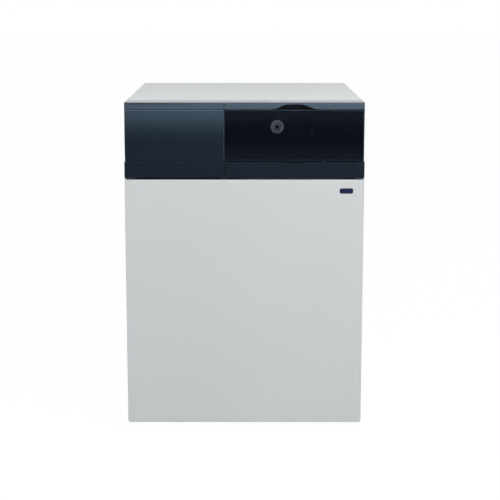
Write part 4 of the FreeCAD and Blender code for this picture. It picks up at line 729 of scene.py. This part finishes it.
    def finish(
        self, look: Finish = Look.BOLTS, slot: str = "zinc_steel", body: Body = Body.CASING,
    ) -> None:
        """Smooths and dresses the piece, and lets it ride.

        Args:
            look: its finish.
            slot: a material slot's name, not used.
            body: the body that it rides on.
        """
        self._settle()
        bpy.ops.object.mode_set(mode="EDIT")
        bpy.ops.mesh.select_all(action="SELECT")
        bpy.ops.mesh.normals_make_consistent(inside=False)
        self._leave()
        bpy.ops.object.shade_smooth_by_angle(angle=math.radians(32.0))
        self.thing.data.materials.clear()
        self.thing.data.materials.append(look.material())
        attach(self.thing, body.value)
        faces = len(self.thing.data.polygons)
        LOG.info("%s rides on %s, %d faces", self.thing.name, body.value, faces)


def upper(height: float = -math.inf) -> Test:
    """Returns a test for faces that look up, above a height."""
    return lambda spot, way: way.z > 0.99 and spot.z > height


def hub(reach: float) -> Test:
    """Returns a test for faces that look up, within a reach of the origin's axis."""
    return lambda spot, way: way.z > 0.99 and spot.xy.length < reach


def above(height: float) -> Test:
    """Returns a test for edges above a height."""
    return lambda spot, way: spot.z > height


def ahead(depth: float) -> Test:
    """Returns a test for edges in front of a depth."""
    return lambda spot, way: spot.y < depth


def grid(columns: Iterable[float], depth: float, rows: Iterable[float]) -> list[Point]:
    """Returns places in columns and rows, at one depth."""
    return [(x, depth, z) for x in columns for z in rows]


def ring(centre: Point, radius: float, degrees: Iterable[float], axis: Axis) -> list[Point]:
    """Spaces places round a circle.

    Args:
        centre, radius: the circle's middle and size, in metres.
        degrees: the angle of each place.
        axis: the circle's axis, X or Y.

    Returns:
        The places.
    """
    x, y, z = centre
    turns = [math.radians(angle) for angle in degrees]
    arms = [(radius * math.cos(turn), radius * math.sin(turn)) for turn in turns]
    if axis is Axis.X:
        return [(x, y + side, z + rise) for side, rise in arms]
    return [(x + side, y, z + rise) for side, rise in arms]


def halfway(low: Vector, high: Vector) -> Point:
    """Returns the middle between two corners."""
    return (low.x + high.x) / 2, (low.y + high.y) / 2, (low.z + high.z) / 2


@dataclass(frozen=True)
class Screw:
    """A pan-head screw with a cross recess, standing up at the origin."""

    radius: float
    tall: float

    def build(self, name: str) -> Piece:
        """Models the screw's head."""
        r, t = self.radius, self.tall
        head = Piece.drum(name, (0, 0, t / 2), r, t, sides=20, top=r * 0.86)
        head.bevel(above(t * 0.9), t * 0.3)
        for wide, long in ((0.16, 0.62), (0.62, 0.16)):
            low, high = (-r * wide, -r * long, t * 0.45), (r * wide, r * long, t * 2)
            head.cut(Piece.slab("recess", low, high))
        return head


@dataclass(frozen=True)
class HexHead:
    """A hexagon bolt head or nut on a washer, standing up at the origin."""

    radius: float
    tall: float
    stud: float = 0.0

    def build(self, name: str) -> Piece:
        """Models the washer, the hexagon and the end of the stud."""
        r, t = self.radius, self.tall
        washer = Piece.drum("washer", (0, 0, t * 0.09), r * 1.22, t * 0.18, sides=28)
        washer.bevel(above(t * 0.15), t * 0.05, 1)
        head = Piece.drum(name, (0, 0, t * 0.59), r, t * 0.82, sides=6)
        head.inset(upper(), r * 0.12).extrude(hub(r * 0.1), (0, 0, t * 0.08), 0.94)
        parts = [washer]
        if self.stud:
            end = Piece.drum("stud", (0, 0, t + self.stud / 2), r * 0.5, self.stud, sides=18)
            parts.append(end.bevel(above(t + self.stud * 0.9), r * 0.08))
        return head.join(*parts)


# ---- Dressing of the CAD nodes ----


def dress(finish: Finish, *nodes: str) -> None:
    """Gives CAD nodes a finish.

    Args:
        finish: the finish.
        nodes: the nodes' names.
    """
    for name in nodes:
        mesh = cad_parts[name].data
        mesh.materials.clear()
        mesh.materials.append(finish.material())
        LOG.info("%s wears %s", name, finish.name)


# ---- Studio ----


@dataclass
class Lamp:
    """One soft box, aimed at a point of the boiler."""

    name: str
    place: Point
    power: float
    wide: float
    high: float
    aim: Point = (0.0, 0.0, 0.45)

    def hang(self) -> None:
        """Puts the soft box up."""
        data = bpy.data.lights.new(self.name, "AREA")
        data.shape, data.size, data.size_y = "RECTANGLE", self.wide, self.high
        data.energy = self.power
        lamp = bpy.data.objects.new(self.name, data)
        bpy.context.scene.collection.objects.link(lamp)
        lamp.location = self.place
        toward = Vector(self.aim) - Vector(self.place)
        lamp.rotation_euler = toward.to_track_quat("-Z", "Y").to_euler()


@dataclass
class Studio:
    """Camera, soft boxes, pale floor and white surroundings."""

    lens: float = 99.21
    sensor: float = 36.0
    eye: Point = (0.0, -3.815, 1.120)
    down: float = 10.62
    shift: float = 0.0111
    ambient: tuple[float, float] = (0.10, 0.36)
    air_turns: tuple[float, float] = (-0.5, 0.3)
    floor_tone: Colour = (0.4, 0.4, 0.4)
    floor_rough: float = 0.9
    floor_glow: float = 1.06
    floor_white: float = 0.92
    floor_turns: tuple[float, float] = (-2.6, -0.6)
    floor_wide: float = 60.0
    floor_drop: float = 0.0005
    lamps: list[Lamp] = field(default_factory=lambda: [
        Lamp("window", (0.6, -5.2, 1.50), 51.0, 3.6, 1.3, (0.2, -0.4, 0.75)),
        Lamp("key", (1.0, -2.4, 3.2), 92.0, 3.0, 2.3, (0.1, -0.4, 0.6)),
        Lamp("fill", (-3.6, -1.8, 2.2), 22.0, 2.4, 2.4),
        Lamp("rear_left", (-3.4, 3.4, 1.3), 29.0, 2.4, 2.4),
        Lamp("rear_right", (3.4, 3.4, 1.3), 36.0, 2.4, 2.4),
    ])

    def build(self) -> None:
        """Sets up the whole studio."""
        bpy.context.scene.view_settings.view_transform = "Standard"
        self._camera()
        self._world()
        self._floor()
        for lamp in self.lamps:
            lamp.hang()
        LOG.info("studio is up")

    def _camera(self) -> None:
        """Puts the camera up at the viewing angle."""
        data = bpy.data.cameras.new("camera")
        data.lens, data.sensor_width, data.shift_x = self.lens, self.sensor, self.shift
        camera = bpy.data.objects.new("camera", data)
        bpy.context.scene.collection.objects.link(camera)
        camera.location = self.eye
        camera.rotation_euler = (math.radians(90.0 - self.down), 0.0, 0.0)
        bpy.context.scene.camera = camera

    def _world(self) -> None:
        """Makes the surroundings white to look at and softer as light."""
        world = bpy.data.worlds.new("surroundings")
        bpy.context.scene.world = world
        shade = Shade(world)
        seen, behind = self._seen(shade, "Generated", self.air_turns)
        light = behind.between(0.0, 1.0, *self.ambient)
        strength = shade.node("ShaderNodeMix", inputs={0: seen, 2: light, 3: 1.0})
        inputs = {"Color": (1.0, 1.0, 1.0, 1.0), "Strength": strength}
        shine = shade.node("ShaderNodeBackground", inputs=inputs)
        shade.node("ShaderNodeOutputWorld", inputs={"Surface": shine})

    def _floor(self) -> None:
        """Lays the pale floor, which keeps a faint shadow."""
        place = (0, 0, -self.floor_drop)
        floor = added(bpy.ops.mesh.primitive_plane_add, size=self.floor_wide, location=place)
        floor.name = "floor"
        material = bpy.data.materials.new("floor_pale")
        shade = Shade(material)
        surface = shade.shader(Base_Color=self.floor_tone, Roughness=self.floor_rough)
        glow = shade.node("ShaderNodeEmission", inputs={"Strength": self.floor_glow})
        share = self._seen(shade, "Object", self.floor_turns)[0] * self.floor_white
        mix = shade.node("ShaderNodeMixShader", inputs={0: share, 1: surface, 2: glow})
        shade.node("ShaderNodeOutputMaterial", inputs={"Surface": mix})
        floor.data.materials.append(material)

    @staticmethod
    def _seen(shade: Shade, kind: str, turns: tuple[float, float]) -> tuple[Val, Val]:
        """Says how white the surroundings look to a ray.

        Args:
            shade: the node tree to build in.
            kind: the coordinate that tells the front of the studio from its back.
            turns: where reflections turn from the dim front to the white back.

        Returns:
            A value that is 1 where a ray sees plain white and 0 where it sees the
            real light, and a value that goes from 0 at the front to 1 at the back.
        """
        camera, glossy, through = (
            shade.node("ShaderNodeLightPath", out=f"Is {ray} Ray")
            for ray in ("Camera", "Glossy", "Transmission")
        )
        behind = shade.along("Y", kind).between(*turns)
        plain = camera.math("MAXIMUM", through)
        return plain.math("MAXIMUM", glossy * behind), behind


# ---- Sub-assemblies ----


@dataclass
class Cabinet:
    """Casing, door, lid and feet, with their small fixings."""

    screw: Screw = Screw(0.0042, 0.0026)
    edge: float = 0.010
    rows: int = 6
    glands_x: tuple[float, float] = (0.196, 0.240)
    gland_rise: float = 0.60
    band_wide: float = 0.020
    band_thick: float = 0.0008
    band_tall: float = 0.30
    jacket_round: float = 0.025
    foot_edge: float = 0.020
    dome_top: float = 0.019
    washer_radius: float = 0.014
    shade_foam_inset: float = 0.012

    def build(self) -> None:
        """Dresses the nodes and adds the fixings."""
        dress(
            Look.CASING, "side_panel_left", "side_panel_right", "back_panel", "top_lid",
            "front_door",
        )
        dress(Look.ZINC, "base_frame")
        # black paint on the rail: its own colour, and also painted shade for the dark gap above
        # the door
        dress(Look.DARK, "front_cross_rail")
        dress(Look.BOLTS, "door_pins", "levelling_feet")
        dress(Look.BADGE, "badge")
        dress(Look.FOIL, "insulation_jacket", "door_insulation")
        self._back_screws()
        self._glands()
        self._bands()
        self._quilt_washers()
        self._foam()
        self._foot_nuts()

    def _back_screws(self) -> None:
        """Puts self-tapping screws along the back panel's edges."""
        low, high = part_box("back_panel")
        side = high.x - self.edge
        span = (high.z - low.z - self.edge * 6) / (self.rows - 1)
        rows = [low.z + self.edge * 3 + span * row for row in range(self.rows)]
        places = [(x, high.y, z) for z in rows for x in (-side, side)]
        places += grid((-0.15, 0.0, 0.15), high.y, [high.z - self.edge])
        self.screw.build("back_screws").spread(places, (0, 1, 0), 0.7).finish()

    def _glands(self) -> None:
        """Puts two empty cable glands in the back panel."""
        low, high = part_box("back_panel")
        rim = self.dome_top - 0.0005
        dome = Piece.drum("cable_glands", (0, 0, 0.013), 0.0105, 0.012, sides=36, top=0.008)
        dome.bevel(above(rim), 0.002, 3).inset(upper(rim), 0.0018)
        dome.extrude(hub(0.001), (0, 0, -0.008), 0.9)
        nut = Piece.drum("gland_nut", (0, 0, 0.0035), 0.0145, 0.007, sides=6)
        nut.bevel(above(0.0065), 0.0012)
        grips = [
            Piece.slab("grip", (0.0102, -0.0006, 0.008), (0.0114, 0.0006, 0.016)).turned(
                math.radians(angle), "Z", (0, 0, 0),
            )
            for angle in range(0, 360, 30)
        ]
        places = grid(self.glands_x, high.y, [low.z + self.gland_rise])
        dome.join(nut, *grips).spread(places, (0, 1, 0))
        dome.finish(Look.BLACK, "black_plastic")

    def _bands(self) -> None:
        """Straps the insulation jacket with two steel bands."""
        low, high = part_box("insulation_jacket")
        wide, thick, tall = self.band_wide, self.band_thick, self.band_tall
        bands = []
        for y in (low.y + 0.045, high.y - 0.065):
            outer = self._arch("jacket_bands", low, high, y, wide, thick, tall)
            inner = self._arch("inside", low, high, y - 0.01, wide + 0.02, 0.0, tall + 0.02)
            bands.append(outer.cut(inner))
        base = high.z + thick
        buckle = Piece.slab(
            "buckle", (0.02, low.y + 0.043, base), (0.06, low.y + 0.067, base + 0.004),
        )
        bands[0].join(bands[1], buckle.soften(0.0012)).finish()

    def _arch(
        self, name: str, low: Vector, high: Vector, y: float, wide: float, grow: float,
        tall: float,
    ) -> Piece:
        """Models a solid in the jacket's outline, cut off at its foot.

        Args:
            name: the piece's name.
            low, high: the jacket's corners.
            y, wide: where it starts along y, and how wide it is.
            grow: how far it stands outside the jacket.
            tall: how far it reaches down from the top.

        Returns:
            The solid.
        """
        solid = Piece.slab(
            name, (low.x - grow, y, high.z - tall), (high.x + grow, y + wide, high.z + grow),
        )
        shoulder = high.z - 0.01
        return solid.bevel(
            lambda spot, way: abs(way.y) > 0.9 and spot.z > shoulder, self.jacket_round + grow, 10,
        )

    def _quilt_washers(self) -> None:
        """Pins the door's insulation with push-on washers."""
        low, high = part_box("door_insulation")
        washer = Piece.drum(
            "quilt_washers", (0, 0, 0.0009), self.washer_radius, 0.0018, sides=30, top=0.011,
        )
        washer.inset(upper(), 0.007).extrude(hub(0.002), (0, 0, 0.0022), 0.6)
        rows = [low.z + (high.z - low.z) * share for share in (0.14, 0.5, 0.86)]
        washer.spread(grid((-0.2, 0.0, 0.2), high.y, rows), (0, 1, 0))
        washer.finish(body=Body.DOOR)

    def _foam(self) -> None:
        """Lays a black foam strip along the door's top fold, its black a painted shade for the gap
        above the door.
        """
        low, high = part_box("front_door")
        strip = Piece.slab(
            "door_foam", (low.x + self.shade_foam_inset, low.y + 0.0016, high.z - 0.0001),
            (high.x - self.shade_foam_inset, high.y - 0.001, high.z + 0.0006),
        )
        strip.soften(0.0003, 1).finish(Look.SHADE_FOAM, "black_plastic", Body.DOOR)

    def _foot_nuts(self) -> None:
        """Locks the levelling feet with nuts under the tray."""
        low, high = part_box("levelling_feet")
        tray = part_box("base_frame")[0].z
        edge = self.foot_edge
        places = [
            (x, y, tray - 0.001)
            for x in (low.x + edge, high.x - edge)
            for y in (low.y + edge, high.y - edge)
        ]
        HexHead(0.0095, 0.007).build("foot_nuts").spread(places, (0, 0, -1)).finish()


@dataclass
class Dial:
    """The thermostat's dial, with its figures and cap."""

    marks: tuple[tuple[str, float], ...] = (
        ("1", 168.0), ("2", 124.0), ("3", 84.0), ("4", 48.0), ("5", 10.0),
        ("6", -50.0), ("7", -90.0), ("8", -137.0),
    )
    ring: float = 0.0094
    size: float = 0.0070
    thick: float = 0.0003

    def build(self) -> None:
        """Dresses the dial and prints its figures."""
        dress(Look.DIAL, "thermostat_knob")
        low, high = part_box("thermostat_knob")
        middle = Vector(((low.x + high.x) / 2, low.y + 0.003, (low.z + high.z) / 2))
        figures = []
        for text, angle in self.marks:
            reach = math.radians(angle)
            place = middle + Vector((math.cos(reach), 0, math.sin(reach))) * self.ring
            figure = Piece.word("dial_figures", text, place, self.size, self.thick)
            figures.append(figure.turned(math.pi / 2 - reach, "Y", place))
        figures[0].join(*figures[1:]).finish(Look.PRINT, "black_plastic", Body.KNOB)
        self._cap(middle)

    def _cap(self, middle: Vector) -> None:
        """Puts a dark cap with a coin slot on the dial's hub."""
        place = middle + Vector((0, -0.0028, 0))
        cap = Piece.drum("dial_cap", place, 0.0052, 0.0022, Axis.Y, 36)
        cap.bevel(ahead(middle.y - 0.0036), 0.0007, 3)
        corners = (
            middle + Vector(corner)
            for corner in ((-0.0032, -0.006, -0.0005), (0.0032, -0.0033, 0.0005))
        )
        cap.cut(Piece.slab("slot", *corners)).finish(Look.PRINT, "black_plastic", Body.KNOB)


@dataclass
class ControlPanel:
    """The dark panel with its flap, switches and terminals."""

    rim_lean: float = math.radians(-7.0)
    rim_face: float = 0.0022
    rim_wide: float = 0.002
    rim_ends: float = 0.0028
    tongue_face: float = 0.00005
    tongue_tall: float = 0.002
    notch_off: float = 0.002
    notch_half: float = 0.025
    bulge: float = 0.003
    edge_wide: float = 0.0009
    edge_steps: int = 12
    rocker_axle: float = -0.361
    tilt: float = math.radians(-9.0)
    slope: float = math.radians(13.3)
    plate_edge: float = 0.008
    wells: int = 12

    def build(self) -> None:
        """Dresses the nodes and adds rims, marks and screws."""
        dress(Look.PANEL, "panel_housing", "left_cover")
        dress(Look.STRIP, "left_strip", "right_strip")
        dress(Look.BAND, "left_band", "right_band")
        dress(Look.PLATE, "instrument_plate")
        dress(
            Look.SWITCH, "rocker_bezel", "rocker_key", "reset_collar", "reset_button",
            "thermostat_body",
        )
        dress(Look.CREAM, "terminal_block")
        dress(Look.FLAP, "smoked_flap")
        Dial().build()
        self._flap_rims()
        self._cover_rim()
        self._cover_edge()
        self._tongues()
        self._switch_marks()
        self._plate_screws()
        self._terminal_screws()

    def _flap_rims(self) -> None:
        """Runs a moulded rim along the flap's top edge and one along its foot."""
        low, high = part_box("smoked_flap")
        left, right = low.x + self.rim_ends, high.x - self.rim_ends
        face = low.y + self.rim_face
        rim = Piece.slab(
            "flap_rim", (left, face, high.z - 0.0023),
            (right, face + self.rim_wide, high.z - 0.0005),
        )
        rim.turned(self.rim_lean, "X", (0.0, face, high.z))
        rim.soften(0.0003, 1).finish(Look.PANEL, "dark_moulding", Body.FLAP)
        foot = Piece.slab(
            "flap_foot", (left, face - 0.0005, low.z - 0.0013),
            (right, face + 0.0025, low.z + 0.0016),
        )
        foot.soften(0.0003, 1).finish(Look.PANEL, "dark_moulding", Body.FLAP)

    def _cover_rim(self) -> None:
        """Runs a moulded rim along the left cover's top edge, in line with the flap's."""
        low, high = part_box("left_cover")
        face = low.y + self.rim_face
        rim = Piece.slab(
            "cover_rim", (low.x + 0.001, face, high.z - 0.0022),
            (high.x - 0.0006, face + self.rim_wide, high.z - 0.0004),
        )
        rim.turned(self.rim_lean, "X", (0.0, face, high.z))
        rim.soften(0.0003, 1).finish(Look.RIM, "dark_moulding")

    def _cover_edge(self) -> None:
        """Rounds the cover's right side with an edge that bows as the cover does, paler as a
        painted highlight.
        """
        low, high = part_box("left_cover")
        foot, top = low.z + 0.0004, high.z - 0.0024
        half, middle = (high.z - low.z) / 2, (low.z + high.z) / 2
        radius = (half * half + self.bulge ** 2) / (self.bulge * 2)

        def face(height: float) -> float:
            """Returns where the cover's front is at a height."""
            return low.y + radius - math.sqrt(radius ** 2 - (height - middle) ** 2)

        step = (top - foot) / self.edge_steps
        right, start = high.x + self.edge_wide, face(foot)
        edge = Piece.slab(
            "cover_edge", (high.x - 0.0002, start, foot - 0.0002),
            (right, start + self.rim_wide, foot),
        )
        for count in range(self.edge_steps):
            here = foot + step * count
            edge.extrude(upper(), (0, face(here + step) - face(here), step))
        edge.bevel(
            lambda spot, way: abs(way.z) > 0.9 and spot.x > right - 0.0001
            and spot.y < face(spot.z) + 0.0005, 0.0007, 4,
        )
        edge.finish(Look.EDGE, "dark_moulding")

    def _tongues(self) -> None:
        """Closes the joint under the cover and squares the strip's top edge under the flap."""
        low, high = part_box("left_cover")
        strip_low, strip_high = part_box("left_strip")
        left = Piece.slab(
            "left_tongue",
            (low.x + 0.0005, strip_low.y + self.tongue_face, strip_high.z - self.tongue_tall),
            (high.x, strip_low.y + 0.004, low.z + 0.0004),
        )
        left.finish(Look.STRIP, "dark_moulding")
        strip_low, strip_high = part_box("right_strip")
        top = strip_high.z
        right = Piece.slab(
            "right_tongue", (strip_low.x, strip_low.y + self.tongue_face, top - self.tongue_tall),
            (strip_high.x - 0.001, strip_low.y + 0.0025, top),
        )
        flap_low, flap_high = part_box("smoked_flap")
        middle = (flap_low.x + flap_high.x) / 2 + self.notch_off
        gap = Piece.slab(
            "notch", (middle - self.notch_half, low.y - 0.01, top - 0.01),
            (middle + self.notch_half, low.y + 0.02, top + 0.01),
        )
        right.cut(gap).finish(Look.STRIP, "dark_moulding")

    def _switch_marks(self) -> None:
        """Moulds the on and off marks on the rocker."""
        low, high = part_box("rocker_bezel")
        x, _, z = halfway(low, high)
        axle = Vector((x, self.rocker_axle, z))
        marks = []
        for text, side in (("I", 1), ("O", -1)):
            place = axle + Vector((0, -0.0075, 0.0047 * side))
            mark = Piece.word("rocker_marks", text, place, 0.0055, 0.0003)
            marks.append(mark.turned(self.slope * side, "X", place).turned(self.tilt, "X", axle))
        marks[0].join(marks[1]).finish(Look.MARK, "dial_plastic", Body.ROCKER)

    def _plate_screws(self) -> None:
        """Holds the instrument plate with four screws."""
        low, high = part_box("instrument_plate")
        edge = self.plate_edge
        rows = (low.z + edge * 1.6, high.z - edge * 1.6)
        places = grid((low.x + edge, high.x - edge), low.y, rows)
        screws = Screw(0.0032, 0.0018).build("plate_screws").spread(places, (0, -1, 0), 0.9)
        screws.finish(Look.DARK, "black_plastic")

    def _terminal_screws(self) -> None:
        """Puts two clamp screws in each well of the terminal block."""
        low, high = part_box("terminal_block")
        pitch = (high.x - low.x) / self.wells
        middle = (low.z + high.z) / 2
        columns = [low.x + pitch * (well + 0.5) for well in range(self.wells)]
        places = grid(columns, low.y + 0.0133, (middle - 0.0055, middle + 0.0055))
        screws = Screw(0.0029, 0.003).build("terminal_screws").spread(places, (0, -1, 0), 0.5)
        screws.finish(Look.BRASS, "copper_brass")


@dataclass
class Boiler:
    """The cast-iron block with its door, hood, pipes and drain cock."""

    glass_radius: float = 0.0105
    glass_ring: float = 0.0143
    clip_back: float = 0.055
    clip_wide: float = 0.013
    clip_thick: float = 0.0016

    def build(self) -> None:
        """Dresses the nodes and adds the small fittings."""
        dress(
            Look.IRON, "front_section", "middle_section", "rear_section", "combustion_door",
            "flue_hood",
        )
        dress(Look.DARK, "block_cradle")
        dress(Look.BOLTS, "tie_rods", "door_and_burner_fixings")
        dress(Look.FIBRE, "rope_seal", "door_refractory")
        dress(Look.STAINLESS, "flue_collar")
        dress(Look.COPPER, "flow_pipe", "return_pipe")
        dress(Look.BRASS, "drain_cock", "sight_glass")
        dress(Look.RED, "drain_lever")
        self._sight_glass()
        self._flue_clip()

    def _sight_glass(self) -> None:
        """Sets a dark glass in the sight hole, under a ring with three screws."""
        low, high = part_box("sight_glass")
        (x, _, z), front = halfway(low, high), low.y
        place = (x, front - 0.0004, z)
        glass = Piece.drum("sight_disc", place, self.glass_radius, 0.002, Axis.Y, 40)
        glass.bevel(ahead(front - 0.0013), 0.0006).finish(Look.GLASS, "porcelain")
        places = ring((x, front, z), self.glass_ring, (90, 210, 330), Axis.Y)
        Screw(0.0022, 0.0016).build("sight_screws").spread(places, (0, -1, 0), 0.6).finish()

    def _flue_clip(self) -> None:
        """Clips the flue collar to the hood with a band and its screw."""
        low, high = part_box("flue_collar")
        radius = (high.x - low.x) / 2
        z, y = (low.z + high.z) / 2, low.y + self.clip_back
        top, outside = z + radius, radius + self.clip_thick
        band = Piece.drum("flue_clip", (0, y, z), outside, self.clip_wide, Axis.Y, 72)
        band.cut(Piece.drum("bore", (0, y, z), radius + 0.0002, 0.03, Axis.Y, 72))
        band.soften(0.0004, 1)
        lug = Piece.slab("lug", (-0.011, y - 0.0055, top), (0.011, y + 0.0055, top + 0.009))
        shank = Piece.drum("shank", (0, y, top + 0.005), 0.0026, 0.034, Axis.X, 18)
        band.join(lug.soften(0.0015), shank).finish()


@dataclass
class Burner:
    """The pressure-jet burner, with its pump, motor and controls."""

    axis_y: float = -0.248
    axis_z: float = 0.326
    quarters: range = range(45, 360, 90)
    motor_ring: float = 0.0495
    pump_ring: float = 0.0175
    box_rise: float = 0.043
    box_tall: float = 0.026
    box_half: float = 0.022
    coil_half: float = 0.012
    coil_tall: float = 0.026
    union: HexHead = HexHead(0.0062, 0.009)
    tips_x: float = 0.0218
    tips_z: float = 0.4355
    cover_spots: tuple[tuple[float, float], ...] = (
        (0.0, 0.077), (-0.058, 0.058), (-0.087, 0.0), (-0.065, -0.065), (0.0, -0.097),
        (0.058, -0.094), (0.088, -0.026), (0.088, -0.090),
    )

    def build(self) -> None:
        """Dresses the nodes and adds fixings and caps."""
        dress(Look.ALLOY, "fan_scroll", "burner_flange", "oil_pump")
        dress(Look.MOTOR, "fan_motor")
        dress(Look.ZINC, "control_bracket", "scroll_cover", "air_shutter")
        dress(Look.BLACK, "fan_wheel", "photocell", "control_box")
        dress(Look.STAINLESS, "blast_tube", "diffuser")
        dress(Look.COPPER, "oil_pipe")
        dress(Look.BRASS, "nozzle_line")
        dress(Look.PORCELAIN, "electrodes")
        dress(Look.LOCKOUT, "lockout_button")
        dress(Look.COIL, "ignition_transformer")
        self._cover_screws()
        self._motor_parts()
        self._pump_parts()
        self._unions()
        self._control_parts()

    def _cover_screws(self) -> None:
        """Screws the scroll's cover down round its edge."""
        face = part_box("scroll_cover")[1].x
        places = [(face, self.axis_y + y, self.axis_z + z) for y, z in self.cover_spots]
        Screw(0.0036, 0.0024).build("scroll_screws").spread(places, (1, 0, 0), 0.8).finish()

    def _motor_parts(self) -> None:
        """Adds the motor's bolts, bearing cap and terminal box."""
        low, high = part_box("fan_motor")
        y, z = self.axis_y, self.axis_z
        places = ring((low.x + 0.003, y, z), self.motor_ring, self.quarters, Axis.X)
        HexHead(0.0034, 0.003).build("motor_bolts").spread(places, (1, 0, 0)).finish()
        cap = Piece.drum("motor_cap", (high.x + 0.002, y, z), 0.013, 0.004, Axis.X, 40)
        cap.bevel(lambda spot, way: spot.x > high.x + 0.0038, 0.0016, 3)
        cap.finish(Look.MOTOR, "die_casting")
        top = z + self.box_rise
        box = Piece.slab(
            "motor_box", (low.x + 0.016, y - self.box_half, top),
            (low.x + 0.068, y + self.box_half, top + self.box_tall),
        )
        lid = upper(top + 0.02)
        box.soften(0.003, 3).inset(lid, 0.002)
        box.extrude(lambda spot, way: lid(spot, way) and abs(spot.y - y) < 0.001, (0, 0, 0.0012))
        box.finish(Look.BLACK, "black_plastic")
        middle = low.x + 0.042
        places = [(middle + 0.020 * side, y + 0.016 * side, top + 0.0272) for side in (-1, 1)]
        Screw(0.0026, 0.0016).build("motor_box_screws").spread(places, (0, 0, 1), 0.5).finish()

    def _pump_parts(self) -> None:
        """Adds the pump's cover screws and its solenoid with a nut."""
        low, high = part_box("oil_pump")
        y = self.axis_y
        places = ring((low.x, y, self.axis_z), self.pump_ring, self.quarters, Axis.X)
        Screw(0.0032, 0.0022).build("pump_screws").spread(places, (-1, 0, 0), 0.6).finish()
        x, top, half = (low.x + high.x) / 2 + 0.004, high.z + self.coil_tall, self.coil_half
        coil = Piece.slab("pump_coil", (x - half, y - half, high.z), (x + half, y + half, top))
        coil.soften(0.0035, 3).finish(Look.COIL, "coil_black")
        HexHead(0.0062, 0.005, 0.002).build("pump_coil_nut").spread([(x, y, top)]).finish()

    def _unions(self) -> None:
        """Puts a union nut at each end of the oil pipe."""
        low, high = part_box("oil_pipe")
        x = (low.x + high.x) / 2
        ends = (
            ((x, self.axis_y, high.z + 0.001), (0, 0, -1)),
            ((x, high.y - 0.001, low.z + 0.0042), (0, -1, 0)),
        )
        first, second = (
            self.union.build("pipe_nuts").spread([place], facing)
            for place, facing in ends
        )
        first.join(second).finish(Look.BRASS, "copper_brass")

    def _control_parts(self) -> None:
        """Rings the reset button, screws the box down and tips the transformer's posts."""
        low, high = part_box("lockout_button")
        x, _, z = halfway(low, high)
        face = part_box("control_box")[0].y + 0.0015
        collar = Piece.hoop("reset_ring", (x, face, z), 0.0108, 0.0009, Axis.Y)
        collar.finish(Look.BLACK, "black_plastic")
        Screw(0.0036, 0.002).build("control_screw").spread([(-x, face, z)], (0, -1, 0)).finish()
        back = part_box("ignition_transformer")[1].y
        tip = Piece.drum("spark_tips", (0, 0, 0.004), 0.0022, 0.008, sides=20, top=0.0016)
        tip.bevel(above(0.0079), 0.0007)
        tip.spread(grid((-self.tips_x, self.tips_x), back, [self.tips_z]), (0, 1, 0))
        tip.finish(Look.BRASS, "copper_brass")


def main() -> None:
    """Builds the studio and the boiler's looks, piece by piece."""
    logging.basicConfig(level=logging.INFO, format="%(name)s: %(message)s")
    Studio().build()
    for part in (Cabinet(), ControlPanel(), Boiler(), Burner()):
        part.build()
        LOG.info("%s done", type(part).__name__)


if __name__ == "__main__":
    main()
